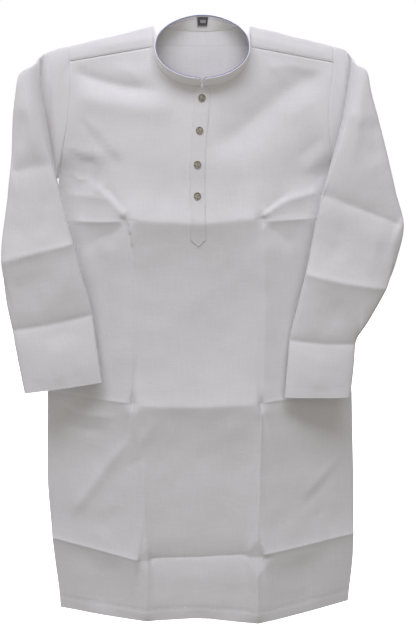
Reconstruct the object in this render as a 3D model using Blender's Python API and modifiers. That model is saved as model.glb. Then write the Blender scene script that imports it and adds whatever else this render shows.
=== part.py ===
"""A white cotton kurta tunic, held up by its two shoulders with its long sleeves hanging down in front.

Metres, +Z up, the garment's front faces -Y. The origin lies midway between the two places where it is
held, at their height. Every piece is a wall of cloth, cut and joined as a tailor cuts it: front with a half
placket, back, shoulder yoke, two sleeves, stand collar, four buttons and a small woven tab at the back neck.
"""

import math
from collections import namedtuple

import bmesh
import bpy
from mathutils import Vector

# Driving dimensions of the cloth and its seams
WALL = 0.0012
COLLAR_WALL = 0.0016
SEAM_GAP = 0.0003
ARMHOLE_GAP = 0.0008
EDGE_HALF_GAP = 0.0010
LAYER_STEP = WALL + SEAM_GAP + 0.0001

# The front view of the body. fold is how far each long vertical pressed fold lies from the centre line,
# front and back are how far those layers stand from the side seam, and open is half the gap at the edge:
# the armhole's above the armpit, and the side vent's below the end of the side seam.
BodyRow = namedtuple("BodyRow", "height left right centre fold_left fold_right seam_y front back open panels")
BODY = [
    BodyRow(0.060, 0.2295, 0.2330, 0.0035, 0.0885, 0.0885, 0.000, 0.0150, 0.0110, 0.0060, 0.0),
    BodyRow(0.014, 0.2285, 0.2320, 0.0030, 0.0885, 0.0885, 0.000, 0.0190, 0.0140, 0.0110, 0.0),
    BodyRow(-0.030, 0.2290, 0.2265, 0.0030, 0.0895, 0.0890, 0.000, 0.0260, 0.0180, 0.0170, 0.0),
    BodyRow(-0.090, 0.2340, 0.2245, -0.0005, 0.0980, 0.0940, 0.000, 0.0330, 0.0230, 0.0200, 0.0),
    BodyRow(-0.145, 0.2435, 0.2300, -0.0045, 0.1090, 0.1020, 0.000, 0.0380, 0.0270, 0.0150, 0.2),
    BodyRow(-0.195, 0.2525, 0.2420, -0.0060, 0.1170, 0.1080, 0.001, 0.0430, 0.0310, 0.0009, 0.5),
    BodyRow(-0.268, 0.2580, 0.2520, -0.0050, 0.1230, 0.1140, 0.003, 0.0500, 0.0350, 0.0009, 1.0),
    BodyRow(-0.430, 0.2700, 0.2660, -0.0030, 0.1230, 0.1130, 0.006, 0.0500, 0.0370, 0.0009, 1.0),
    BodyRow(-0.600, 0.2820, 0.2770, -0.0020, 0.1220, 0.1110, 0.010, 0.0600, 0.0400, 0.0009, 1.0),
    BodyRow(-0.730, 0.2860, 0.2830, -0.0020, 0.1130, 0.1080, 0.013, 0.0640, 0.0420, 0.0010, 1.0),
    BodyRow(-0.890, 0.2765, 0.2850, 0.0000, 0.0990, 0.1040, 0.016, 0.0730, 0.0440, 0.0060, 1.0),
    BodyRow(-1.010, 0.2660, 0.2765, 0.0000, 0.0990, 0.1050, 0.016, 0.0760, 0.0460, 0.0100, 1.0),
]
FOLD_SHARE = 0.45

# Cross creases from packing. push is how far both layers are moved, and a minus sign moves them to the front.
Crease = namedtuple("Crease", "height centre_push side_push reach_up reach_down")
CREASES = [
    Crease(-0.268, -0.0080, -0.0015, 0.040, 0.050),
    Crease(-0.598, -0.0090, -0.0050, 0.045, 0.045),
    Crease(-0.887, 0.0080, -0.0090, 0.040, 0.045),
]

# Soft drape folds of the front layer, each a trough or ridge along a straight line.
Fold = namedtuple("Fold", "x0 z0 x1 z1 push width")
FRONT_FOLDS = [
    Fold(-0.250, -0.010, -0.080, -0.030, 0.0050, 0.018),
    Fold(-0.210, -0.052, -0.060, -0.062, -0.0040, 0.022),
    Fold(0.240, -0.020, 0.020, -0.130, 0.0060, 0.026),
    Fold(0.215, 0.000, 0.110, -0.020, -0.0035, 0.020),
]
BACK_FOLDS = [
    Fold(-0.230, 0.000, 0.000, -0.110, -0.0060, 0.028),
    Fold(0.230, -0.010, 0.000, -0.140, -0.0060, 0.028),
    Fold(-0.190, -0.100, 0.150, -0.170, 0.0040, 0.030),
]

# Heights of the rows of the panels, from the chest down to the hem.
ARMHOLE_ROWS = [-0.080, -0.110, -0.140, -0.170, -0.195]
FRONT_ROWS = ARMHOLE_ROWS + [
    -0.222, -0.247, -0.268, -0.290, -0.325, -0.370, -0.420, -0.470, -0.520, -0.560, -0.582, -0.598,
    -0.615, -0.640, -0.685, -0.730, -0.780, -0.830, -0.865, -0.887, -0.909, -0.945, -1.000,
]
BACK_ROWS = ARMHOLE_ROWS + [
    -0.230, -0.268, -0.310, -0.380, -0.460, -0.530, -0.575, -0.598, -0.622, -0.670, -0.730, -0.800,
    -0.860, -0.887, -0.915, -1.000,
]
TOP_ROWS = 4
ARMPIT_Z = ARMHOLE_ROWS[-1]
BACK_INSET_REACH = 0.10
BACK_MIDDLE_HALF = 0.010
HEM = {"left": -1.005, "fold_left": -1.006, "centre": -1.000, "fold_right": -1.011, "right": -0.992}
HEM_FADE = 0.12
BACK_HEM_LIFT = 0.006
BACK_INSET = 0.006

# Half placket down the front, with its pointed end, and the slit under it.
PLACKET_HALF = 0.0138
SLIT_HALF = 0.0022
SLIT_END = -0.290
PLACKET_END = -0.300
PLACKET_POINT = 0.013
PLACKET_TOP_GAP = 0.0022
UNDER_PLACKET_HALF = 0.0120
BUTTON_HEIGHTS = [-0.0542, -0.1103, -0.1690, -0.2235]
BUTTON_RADIUS = 0.0064
BUTTON_THICK = 0.0026
BUTTON_STEPS = 20
SHANK_RADIUS = 0.0010
BUTTONHOLE_HALF = (0.0016, 0.0066)

# Front neckline: the lower half of a rounded oval below the yoke seam. The rest of it, from the yoke seam
# round to the centre back, is listed with the angle at which the collar's top edge matches it.
NECK_CENTRE = 0.0020
NECK_HALF_WIDTH = 0.0838
NECK_SEAM_Z = 0.0340
NECK_DROP = 0.0680
NECK_ROUNDNESS = 2.2
NeckPoint = namedtuple("NeckPoint", "angle x y z")
NECK_SIDE = [
    NeckPoint(90.0, 0.0838, -0.0172, 0.0340),
    NeckPoint(83.0, 0.0843, -0.0140, 0.0475),
    NeckPoint(76.0, 0.0843, -0.0085, 0.0605),
    NeckPoint(69.0, 0.0831, -0.0025, 0.0692),
    NeckPoint(63.0, 0.0796, 0.0030, 0.0715),
    NeckPoint(55.0, 0.0731, 0.0070, 0.0700),
    NeckPoint(42.0, 0.0571, 0.0098, 0.0660),
    NeckPoint(29.0, 0.0401, 0.0112, 0.0630),
    NeckPoint(14.2, 0.0200, 0.0120, 0.0605),
    NeckPoint(0.0, 0.0000, 0.0122, 0.0597),
]
YOKE_ROWS = 8
YOKE_NECK_ROWS = 5
YOKE_BACK_Z = 0.0345

# Shoulder ends: height of the top fold, and of the yoke's two seams, at each armhole.
Shoulder = namedtuple("Shoulder", "ridge front_seam back_seam")
SHOULDERS = {"left": Shoulder(0.0355, 0.0090, 0.0080), "right": Shoulder(0.0350, 0.0070, 0.0065)}

# Stand collar: its top edge is an ellipse in the front view, standing forward of the neckline.
COLLAR_CENTRE = 0.0030
COLLAR_HALF_WIDTH = 0.0815
COLLAR_MIDDLE_Z = 0.0337
COLLAR_HALF_HEIGHT = 0.0545
COLLAR_FRONT_Y = -0.0500
COLLAR_BACK_Y = 0.0040
COLLAR_LEAN_POWER = 2.6
COLLAR_CORNER = 0.0085
COLLAR_END_SHARE = 0.16
COLLAR_FRONT_ANGLES = [97.5, 105, 112.5, 120, 127.5, 135, 142.5, 150, 157.5, 165]
COLLAR_END_ANGLES = [170.0, 173.5, 175.5, 177.0, 178.2, 179.1, 179.65]
COLLAR_ROWS = 3

# Woven tab at the back neck.
TAB_HALF_WIDTH = 0.0103
TAB_TOP_SHARE = 0.93
TAB_BOTTOM_SHARE = 0.30
TAB_WALL = 0.0006

# Sleeve sections, each a flat loop between an inner and an outer end, from the armhole to the cuff. The first
# ones go out to a hidden fold, come back in front of themselves to the visible inner fold, and the others fan
# out from where the shoulder is held and hang down. x is outward from the centre. The front and back columns
# say how far out, and at what depth, the middle of each layer lies. held is how much of that outward shift is
# kept next to the outer end, and kink moves both layers at a pressed crease.
SleeveRow = namedtuple(
    "SleeveRow", "inner_x inner_z inner_y outer_x outer_z outer_y front_out front_y back_out back_y held kink"
)
SLEEVE_LEFT = [
    SleeveRow(0.2600, -0.1990, 0.000, 0.2480, 0.0310, 0.000, 0.000, -0.0170, 0.000, 0.0160, 1.0, 0.0),
    SleeveRow(0.2680, -0.2030, -0.002, 0.2680, 0.0240, -0.001, 0.004, -0.0110, 0.006, 0.0120, 1.0, 0.0),
    SleeveRow(0.2720, -0.2070, -0.010, 0.2790, 0.0180, -0.010, 0.008, -0.0150, 0.020, -0.0070, 1.0, 0.0),
    SleeveRow(0.2640, -0.2130, -0.024, 0.2825, 0.0130, -0.024, 0.002, -0.0200, 0.012, -0.0300, 1.0, 0.0),
    SleeveRow(0.2510, -0.2190, -0.037, 0.2850, 0.0070, -0.034, -0.001, -0.0360, 0.010, -0.0350, 1.0, 0.0),
    SleeveRow(0.2465, -0.2260, -0.045, 0.2920, -0.0010, -0.045, 0.000, -0.0530, 0.011, -0.0390, 0.5, 0.0),
    SleeveRow(0.2435, -0.2350, -0.050, 0.3020, -0.0060, -0.050, 0.000, -0.0610, 0.012, -0.0415, 0.0, 0.0),
    SleeveRow(0.2410, -0.2450, -0.051, 0.3120, -0.0150, -0.052, 0.000, -0.0640, 0.012, -0.0405, 0.0, 0.0),
    SleeveRow(0.2380, -0.2550, -0.051, 0.3190, -0.0500, -0.051, 0.000, -0.0650, 0.010, -0.0385, 0.0, 0.0),
    SleeveRow(0.2350, -0.2650, -0.050, 0.3250, -0.0950, -0.050, 0.000, -0.0650, 0.006, -0.0355, 0.0, 0.0),
    SleeveRow(0.2315, -0.2750, -0.048, 0.3285, -0.1500, -0.048, 0.000, -0.0650, 0.002, -0.0325, 0.0, 0.0),
    SleeveRow(0.2275, -0.2900, -0.047, 0.3370, -0.2220, -0.047, 0.000, -0.0645, 0.000, -0.0300, 0.0, 0.0),
    SleeveRow(0.2235, -0.3050, -0.046, 0.3505, -0.3260, -0.046, 0.000, -0.0640, 0.000, -0.0280, 0.0, -0.009),
    SleeveRow(0.2080, -0.3700, -0.047, 0.3460, -0.4000, -0.046, 0.000, -0.0640, 0.000, -0.0290, 0.0, 0.0),
    SleeveRow(0.1940, -0.4320, -0.049, 0.3360, -0.4600, -0.048, 0.000, -0.0640, 0.000, -0.0330, 0.0, 0.008),
    SleeveRow(0.1850, -0.4950, -0.053, 0.3255, -0.5200, -0.052, 0.000, -0.0660, 0.000, -0.0385, 0.0, 0.0),
    SleeveRow(0.1770, -0.5550, -0.056, 0.3150, -0.5750, -0.055, 0.000, -0.0670, 0.000, -0.0430, 0.0, 0.0),
]
SLEEVE_RIGHT = [
    SleeveRow(0.2540, -0.1975, 0.000, 0.2440, 0.0310, 0.000, 0.004, -0.0160, 0.004, 0.0160, 1.0, 0.0),
    SleeveRow(0.2640, -0.2005, -0.002, 0.2540, 0.0270, -0.001, 0.011, -0.0110, 0.013, 0.0120, 1.0, 0.0),
    SleeveRow(0.2680, -0.2035, -0.012, 0.2600, 0.0210, -0.011, 0.016, -0.0160, 0.028, -0.0080, 1.0, 0.0),
    SleeveRow(0.2490, -0.2060, -0.031, 0.2620, 0.0150, -0.028, 0.006, -0.0230, 0.016, -0.0340, 1.0, 0.0),
    SleeveRow(0.2270, -0.2110, -0.043, 0.2640, 0.0080, -0.040, -0.001, -0.0375, 0.0085, -0.0450, 1.0, 0.0),
    SleeveRow(0.2160, -0.2180, -0.051, 0.2700, 0.0010, -0.051, -0.002, -0.0530, 0.0085, -0.0480, 0.5, 0.0),
    SleeveRow(0.2122, -0.2240, -0.056, 0.2780, -0.0030, -0.057, 0.000, -0.0660, 0.010, -0.0500, 0.0, 0.0),
    SleeveRow(0.2098, -0.2320, -0.058, 0.2850, -0.0100, -0.059, 0.000, -0.0690, 0.012, -0.0480, 0.0, 0.0),
    SleeveRow(0.2080, -0.2400, -0.058, 0.2930, -0.0450, -0.059, 0.000, -0.0705, 0.010, -0.0475, 0.0, 0.0),
    SleeveRow(0.2062, -0.2480, -0.057, 0.3050, -0.0860, -0.058, 0.000, -0.0710, 0.006, -0.0465, 0.0, 0.0),
    SleeveRow(0.2043, -0.2570, -0.056, 0.3210, -0.1430, -0.057, 0.000, -0.0710, 0.002, -0.0455, 0.0, 0.0),
    SleeveRow(0.2022, -0.2670, -0.055, 0.3390, -0.2140, -0.056, 0.000, -0.0700, 0.000, -0.0420, 0.0, 0.0),
    SleeveRow(0.2002, -0.2780, -0.054, 0.3550, -0.2760, -0.053, 0.000, -0.0690, 0.000, -0.0380, 0.0, 0.006),
    SleeveRow(0.1945, -0.3110, -0.051, 0.3450, -0.3320, -0.051, 0.000, -0.0670, 0.000, -0.0330, 0.0, 0.0),
    SleeveRow(0.1845, -0.3600, -0.051, 0.3270, -0.3860, -0.050, 0.000, -0.0665, 0.000, -0.0320, 0.0, -0.009),
    SleeveRow(0.1710, -0.4200, -0.051, 0.3010, -0.4380, -0.050, 0.000, -0.0660, 0.000, -0.0340, 0.0, 0.0),
    SleeveRow(0.1585, -0.4780, -0.053, 0.2760, -0.4850, -0.052, 0.000, -0.0665, 0.000, -0.0375, 0.0, 0.008),
    SleeveRow(0.1540, -0.5300, -0.055, 0.2720, -0.5350, -0.054, 0.000, -0.0675, 0.000, -0.0410, 0.0, 0.0),
    SleeveRow(0.1500, -0.5820, -0.057, 0.2670, -0.5820, -0.056, 0.000, -0.0685, 0.000, -0.0440, 0.0, 0.0),
]
FOLDED_SECTIONS = 8
FOLDED_STEPS = 2
RING_POINTS = 24
SECTION_POWER = 0.6
SHARP_FOLD = math.radians(35)

WHITE_COTTON = ("white_cotton", (0.80, 0.79, 0.80), 0.85)
COLLAR_COTTON = ("collar_cotton", (0.76, 0.75, 0.76), 0.85)
SMOKY_SHELL = ("smoky_shell", (0.22, 0.19, 0.12), 0.25)
DARK_WEAVE = ("dark_weave", (0.09, 0.09, 0.09), 0.80)


def smooth_at(keys, values, at):
    """Smooth curve through the values at rising keys that never swings past them, level beyond both ends."""
    if at <= keys[0]:
        return values[0]
    if at >= keys[-1]:
        return values[-1]
    i = next(k for k in range(len(keys) - 1) if at <= keys[k + 1])

    def slope(k):
        if k in (0, len(keys) - 1):
            return 0.0
        before = (values[k] - values[k - 1]) / (keys[k] - keys[k - 1])
        after = (values[k + 1] - values[k]) / (keys[k + 1] - keys[k])
        return 2 * before * after / (before + after) if before * after > 0 else 0.0

    span = keys[i + 1] - keys[i]
    t = (at - keys[i]) / span
    start = values[i] * (1 + 2 * t) + slope(i) * span * t
    end = values[i + 1] * (3 - 2 * t) - slope(i + 1) * span * (1 - t)
    return start * (1 - t) ** 2 + end * t**2


def body_row(height):
    """The body table read at any height."""
    heights = [-row.height for row in BODY]
    return BodyRow(*(smooth_at(heights, column, -height) for column in zip(*BODY)))


def mix(a, b, share):
    return a + (b - a) * share


def ease(t):
    t = min(max(t, 0.0), 1.0)
    return t * t * (3 - 2 * t)


def share_across(row, x):
    """0 at the centre line, FOLD_SHARE at the long pressed fold, 1 at the side edge."""
    offset = x - row.centre
    fold = row.fold_right if offset > 0 else row.fold_left
    half = (row.right - row.centre) if offset > 0 else (row.left + row.centre)
    if abs(offset) < fold:
        return FOLD_SHARE * abs(offset) / fold
    return FOLD_SHARE + (1 - FOLD_SHARE) * (abs(offset) - fold) / (half - fold)


def fold_push(folds, x, z):
    """How far the soft folds move the cloth at a place in the front view."""
    total = 0.0
    for fold in folds:
        run = Vector((fold.x1 - fold.x0, fold.z1 - fold.z0))
        place = Vector((x - fold.x0, z - fold.z0))
        along = min(max(place.dot(run) / run.length_squared, 0.0), 1.0)
        away = (place - run * along).length
        total += fold.push * math.exp(-((away / fold.width) ** 2)) * math.sin(math.pi * (0.1 + 0.8 * along))
    return total


def crease_push(share, z):
    """How far the cross creases move both layers."""
    total = 0.0
    for crease in CREASES:
        side = ease((share - FOLD_SHARE + 0.06) / 0.12)
        push = mix(crease.centre_push, crease.side_push, side)
        away = z - crease.height
        reach = crease.reach_up if away > 0 else crease.reach_down
        total += push * math.exp(-abs(away) / reach)
    return total


def layer_y(layer, x, z):
    """Depth of the front or back layer at a place in the front view."""
    row = body_row(z)
    share = min(share_across(row, x), 1.0)
    rounded = share**2.5
    flat = max((share - FOLD_SHARE) / (1 - FOLD_SHARE), 0.0) ** 1.15
    edge = mix(rounded, flat, row.panels)
    sign, depth, folds = (-1, row.front, FRONT_FOLDS) if layer == "front" else (1, row.back, BACK_FOLDS)
    inside = 1 - edge
    soft = fold_push(folds, x, z) * ease(inside * 3)
    return row.seam_y + sign * mix(depth, row.open, edge) + crease_push(share, z) + soft


def column_x(row, column):
    """x of a column (side, zone, value). The value is an offset, a share of the fold, or one beyond it."""
    side, zone, value = column
    fold = row.fold_right if side > 0 else row.fold_left
    half = row.right if side > 0 else row.left
    if zone == "offset":
        return row.centre + side * value
    if zone == "neck":
        return row.centre + side * value * fold
    return mix(row.centre + side * fold, side * half, value)


def hem_z(column):
    """Height of the hem's edge under a column."""
    side, zone, value = column
    name = "right" if side > 0 else "left"
    if zone == "side":
        return mix(HEM["fold_" + name], HEM[name], value)
    return mix(HEM["centre"], HEM["fold_" + name], value if zone == "neck" else 0.1)


NECK_SHARES = [math.sin(math.radians(angle)) for angle in (15, 30, 45, 60, 75, 90)]
SIDE_SHARES = [0.10, 0.25, 0.45, 0.65, 0.85, 1.0]


def mirrored_columns(half):
    """Columns from the left edge to the right edge, from those of one half."""
    left = [(-1, zone, value) for zone, value in reversed(half)]
    return left + [(1, zone, value) for zone, value in half]


FRONT_COLUMNS = mirrored_columns(
    [("offset", SLIT_HALF), ("offset", PLACKET_HALF)]
    + [("neck", share) for share in NECK_SHARES]
    + [("side", share) for share in SIDE_SHARES]
)
BACK_COLUMNS = mirrored_columns(
    [("offset", BACK_MIDDLE_HALF)]
    + [("neck", share) for share in (0.4, 0.7, 1.0)]
    + [("side", share) for share in (0.2, 0.45, 0.7, 0.88, 1.0)]
)


def neckline_z(x):
    """Height of the front neckline's edge."""
    share = min(abs(x - NECK_CENTRE) / NECK_HALF_WIDTH, 1.0)
    return NECK_SEAM_Z - NECK_DROP * (1 - share**NECK_ROUNDNESS) ** (1 / NECK_ROUNDNESS)


def shoulder_line(side, layer):
    """Ends of the yoke's straight front or back seam, at the neck and at the armhole."""
    name = "right" if side > 0 else "left"
    height = SHOULDERS[name].front_seam if layer == "front" else SHOULDERS[name].back_seam
    neck_z = NECK_SEAM_Z if layer == "front" else YOKE_BACK_Z
    half = column_x(body_row(height), (side, "side", 1.0))
    inner = NECK_CENTRE + side * NECK_HALF_WIDTH
    return (
        Vector((inner, layer_y(layer, inner, neck_z), neck_z)),
        Vector((half, layer_y(layer, half, height), height)),
    )


def top_edge(layer, column):
    """Where a column of the front or back starts: on the neckline or on the yoke's seam."""
    side, zone, value = column
    neck, arm = shoulder_line(side, layer)
    if zone == "side":
        return neck.lerp(arm, value)
    x = NECK_CENTRE + side * value * NECK_HALF_WIDTH
    if zone == "offset":
        x = body_row(neckline_z(0.0)).centre + side * value
    if layer == "front":
        z = neckline_z(x)
        return Vector((x, layer_y(layer, x, z), z))
    return Vector((x, layer_y(layer, x, YOKE_BACK_Z), YOKE_BACK_Z))


def panel_point(layer, column, row, heights):
    """A point of the front or back panel's middle surface."""
    start = top_edge(layer, column)
    start.z -= SEAM_GAP / 2
    if row == 0:
        return start
    last = heights[-1]
    if row < TOP_ROWS:
        z = mix(start.z, heights[0], row / TOP_ROWS)
    else:
        z = heights[row - TOP_ROWS]
        hem = hem_z(column) + (BACK_HEM_LIFT if layer == "back" else 0.0)
        z += (hem - last) * ease((last + HEM_FADE - z) / HEM_FADE)
    body = body_row(z)
    x = column_x(body, column)
    fade = max(1 - row / TOP_ROWS, 0.0)
    x = mix(x, start.x, fade)
    y = layer_y(layer, x, z) + fade * (start.y - layer_y(layer, start.x, start.z))
    return Vector((x, y, z))


def add_object(name, mesh, material):
    """An object with its own material, in the garment's collection."""
    obj = bpy.data.objects.new(name, mesh)
    GARMENT.objects.link(obj)
    label, colour, roughness = material
    made = bpy.data.materials.get(label) or bpy.data.materials.new(label)
    made.use_nodes = True
    shader = made.node_tree.nodes["Principled BSDF"]
    shader.inputs["Base Color"].default_value = (*colour, 1.0)
    shader.inputs["Roughness"].default_value = roughness
    mesh.materials.clear()
    mesh.materials.append(made)
    mesh.shade_smooth()
    mesh.set_sharp_from_angle(angle=SHARP_FOLD)
    return obj


def cloth(name, columns, rows, place, material=WHITE_COTTON, wall=WALL, closed=False, left_out=None):
    """A sheet of cloth: a grid moved to place(column, row), then given its wall."""
    bm = bmesh.new()
    bmesh.ops.create_grid(bm, x_segments=columns, y_segments=rows, size=1.0)
    spots = {v: (round((v.co.x + 1) / 2 * columns), round((1 - v.co.y) / 2 * rows)) for v in bm.verts}
    if left_out:
        corners = {f: [min(spots[v][axis] for v in f.verts) for axis in (0, 1)] for f in bm.faces}
        gone = [f for f in bm.faces if left_out(*corners[f])]
        bmesh.ops.delete(bm, geom=gone, context="FACES")
    for v in bm.verts:
        v.co = place(*spots[v])
    if closed:
        bmesh.ops.remove_doubles(bm, verts=bm.verts, dist=1e-5)
    mesh = bpy.data.meshes.new(name)
    bm.to_mesh(mesh)
    bm.free()
    obj = add_object(name, mesh, material)
    thickness = obj.modifiers.new("wall", "SOLIDIFY")
    thickness.thickness = wall
    thickness.offset = 0.0
    return obj


def front_panel():
    """The front, slit down its centre under the placket."""
    middle = FRONT_COLUMNS.index((-1, "offset", SLIT_HALF))
    heights = FRONT_ROWS

    def in_slit(column, row):
        return column == middle and row < TOP_ROWS + sum(z > SLIT_END for z in heights)

    cloth(
        "front_panel",
        len(FRONT_COLUMNS) - 1,
        TOP_ROWS + len(heights) - 1,
        lambda i, j: panel_point("front", FRONT_COLUMNS[i], j, heights),
        left_out=in_slit,
    )


def back_panel():
    """The back, in one piece from the yoke to the hem, a little narrower than the front at the vents."""

    def place(i, j):
        point = panel_point("back", BACK_COLUMNS[i], j, BACK_ROWS)
        side, zone, value = BACK_COLUMNS[i]
        if zone == "side":
            point.x -= side * BACK_INSET * value * ease((ARMPIT_Z - point.z) / BACK_INSET_REACH)
        return point

    cloth("back_panel", len(BACK_COLUMNS) - 1, TOP_ROWS + len(BACK_ROWS) - 1, place)


def yoke_arm_point(side, row):
    """The yoke's end at the armhole, from its front seam over the shoulder fold to its back seam."""
    name = "right" if side > 0 else "left"
    _, front = shoulder_line(side, "front")
    _, back = shoulder_line(side, "back")
    turn = math.pi * row / YOKE_ROWS
    seam = front if row <= YOKE_ROWS / 2 else back
    ridge = SHOULDERS[name].ridge
    return Vector((seam.x, seam.y * abs(math.cos(turn)), mix(seam.z, ridge, math.sin(turn))))


def neck_side_point(side, index):
    """A listed point of the neckline. The first one is the front panel's own corner."""
    if index == 0:
        return shoulder_line(side, "front")[0]
    point = NECK_SIDE[index]
    return Vector((NECK_CENTRE + side * point.x, point.y, point.z))


def yoke_neck_point(side, row):
    """The yoke's inner end: along the side of the neck, then straight down the back to its seam."""
    last = neck_side_point(side, YOKE_NECK_ROWS)
    if row <= YOKE_NECK_ROWS:
        return neck_side_point(side, row)
    seam, _ = shoulder_line(side, "back")
    return last.lerp(seam, (row - YOKE_NECK_ROWS) / (YOKE_ROWS - YOKE_NECK_ROWS))


def yoke_columns():
    """(side, share of the way from neck to armhole) outside the neck, and (side, point of the back neck)."""
    outer = [1.0, 0.85, 0.68, 0.5, 0.32, 0.15, 0.0]
    inner = list(range(YOKE_NECK_ROWS + 1, len(NECK_SIDE)))
    half = [("arm", share) for share in outer] + [("neck", index) for index in inner]
    left = [(-1, zone, value) for zone, value in half]
    right = [(1, zone, value) for zone, value in reversed(half[:-1])]
    return left + right


def yoke_point(column, row):
    side, zone, value = column
    if zone == "arm":
        point = yoke_neck_point(side, row).lerp(yoke_arm_point(side, row), value)
    else:
        top = neck_side_point(side, value)
        share = max(row - YOKE_NECK_ROWS, 0) / (YOKE_ROWS - YOKE_NECK_ROWS)
        seam = Vector((top.x, layer_y("back", top.x, YOKE_BACK_Z), YOKE_BACK_Z))
        point = top.lerp(seam, share)
    if row in (0, YOKE_ROWS):
        point.z += SEAM_GAP / 2
    return point


def yoke():
    """The shoulder piece: a strip over each shoulder, joined behind the neck."""
    columns = yoke_columns()
    inner = [i for i, column in enumerate(columns) if column[1] == "neck"]

    def at_neck(column, row):
        return row < YOKE_NECK_ROWS and min(inner) - 1 <= column <= max(inner)

    cloth("yoke", len(columns) - 1, YOKE_ROWS, lambda i, j: yoke_point(columns[i], j), left_out=at_neck)


def armhole_ring(side):
    """The armhole's edge as RING_POINTS points: shoulder fold, front edge, armpit, back edge."""
    quarter = YOKE_ROWS // 2
    ring = [yoke_arm_point(side, quarter - k) for k in range(quarter)]
    edge = (side, "side", 1.0)
    rows = TOP_ROWS + len(ARMHOLE_ROWS) - 1
    ring += [panel_point("front", edge, j, FRONT_ROWS) for j in range(rows)]
    armpit = panel_point("front", edge, rows, FRONT_ROWS)
    ring.append(Vector((armpit.x, body_row(armpit.z).seam_y, armpit.z - EDGE_HALF_GAP)))
    ring += [panel_point("back", edge, j, BACK_ROWS) for j in reversed(range(rows))]
    ring += [yoke_arm_point(side, YOKE_ROWS - k) for k in range(1, quarter)]
    for point in ring:
        point.x += side * ARMHOLE_GAP
    return ring


def sleeve_section(side, row, index):
    """A point of a sleeve section: front layer from the outer end to the inner, then the back layer."""
    turn = 2 * math.pi * index / RING_POINTS
    outward = (1 + math.cos(turn)) / 2
    swell = abs(math.sin(turn)) ** SECTION_POWER
    x = mix(row.inner_x, row.outer_x, outward)
    y = mix(row.inner_y, row.outer_y, outward)
    z = mix(row.inner_z, row.outer_z, outward)
    out, depth = (row.front_out, row.front_y) if math.sin(turn) >= 0 else (row.back_out, row.back_y)
    common = (row.front_out + row.back_out) / 2
    kept = mix(1 - outward**3, 1.0, row.held)
    x += common * math.sin(turn) ** 2 + (out - common) * swell * kept
    return Vector((side * x, mix(y, depth, swell), z))


def sleeve(name, side, table):
    """A sleeve: sections from the armhole out to where it is held, over it, and down to the cuff."""
    armhole = armhole_ring(side)
    sections = [armhole] + [[sleeve_section(side, row, k) for k in range(RING_POINTS)] for row in table]
    kinks = [0.0] + [row.kink for row in table]
    keys = list(range(len(sections)))
    rows = [k / FOLDED_STEPS for k in range(FOLDED_SECTIONS * FOLDED_STEPS)] + keys[FOLDED_SECTIONS:]

    def place(i, j):
        column = [section[i % RING_POINTS] for section in sections]
        at = rows[j]
        point = Vector([smooth_at(keys, [place[axis] for place in column], at) for axis in range(3)])
        low = min(int(at), len(keys) - 2)
        point.y += mix(kinks[low], kinks[low + 1], at - low)
        return point

    cloth(name, RING_POINTS, len(rows) - 1, place, closed=True)


def neck_ring(angle):
    """The neckline at an angle: 0 at the centre back, pi at the centre front, minus on the left."""
    side = 1 if angle >= 0 else -1
    turn = abs(angle)
    if turn >= math.pi / 2:
        columns = [column for column in FRONT_COLUMNS if column[0] == side and column[1] != "side"]
        edge = [top_edge("front", column) for column in columns]
        edge.sort(key=lambda point: abs(point.x - NECK_CENTRE))
        edge.append(shoulder_line(side, "front")[0])
        reach = NECK_HALF_WIDTH * math.sin(math.pi - turn)
        reach = max(reach, abs(edge[0].x - NECK_CENTRE))
        reached = (k for k in range(1, len(edge)) if abs(edge[k].x - NECK_CENTRE) >= reach - 1e-9)
        k = next(reached, len(edge) - 1)
        near, far = edge[k - 1], edge[k]
        span = abs(far.x - NECK_CENTRE) - abs(near.x - NECK_CENTRE)
        share = (reach - abs(near.x - NECK_CENTRE)) / span if span > 1e-9 else 1.0
        return near.lerp(far, min(share, 1.0))
    degrees = math.degrees(turn)
    k = next(k for k in range(1, len(NECK_SIDE)) if NECK_SIDE[k].angle <= degrees)
    span = NECK_SIDE[k - 1].angle - NECK_SIDE[k].angle
    share = (NECK_SIDE[k - 1].angle - degrees) / span
    return neck_side_point(side, k - 1).lerp(neck_side_point(side, k), share)


def collar_top(angle):
    """The collar's top edge at an angle."""
    x = COLLAR_CENTRE + COLLAR_HALF_WIDTH * math.sin(angle)
    z = COLLAR_MIDDLE_Z + COLLAR_HALF_HEIGHT * math.cos(angle)
    lean = ((1 + math.cos(angle)) / 2) ** COLLAR_LEAN_POWER
    return Vector((x, mix(COLLAR_FRONT_Y, COLLAR_BACK_Y, lean), z))


def collar_angles():
    """Angles of the collar's columns. They meet every point of the neckline it is sewn to."""
    knots = [point.angle for point in reversed(NECK_SIDE)]
    between = [(low + high) / 2 for low, high in zip(knots, knots[1:]) if high - low > 9]
    half = sorted(knots + between) + COLLAR_FRONT_ANGLES + COLLAR_END_ANGLES
    return [math.radians(angle) for angle in [-angle for angle in reversed(half)] + half[1:]]


def collar_point(angle, up):
    """A point of the collar, up from 0 at the neckline to 1 at its top edge."""
    foot, top = neck_ring(angle), collar_top(angle)
    from_end = (math.pi - abs(angle)) * COLLAR_HALF_WIDTH
    reach = min(from_end / COLLAR_CORNER, 1.0)
    height = mix(COLLAR_END_SHARE, 1.0, math.sqrt(1 - (1 - reach) ** 2))
    rise = (top - foot).normalized()
    start = foot + rise * (WALL / 2 + 1.5 * SEAM_GAP)
    return start + (top - start) * up * height


def collar_band():
    """The stand collar, one stiff band open at the centre front, with rounded front corners."""
    angles = collar_angles()
    cloth(
        "collar_band",
        len(angles) - 1,
        COLLAR_ROWS,
        lambda i, j: collar_point(angles[i], 1 - j / COLLAR_ROWS),
        material=COLLAR_COTTON,
        wall=COLLAR_WALL,
    )


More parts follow.
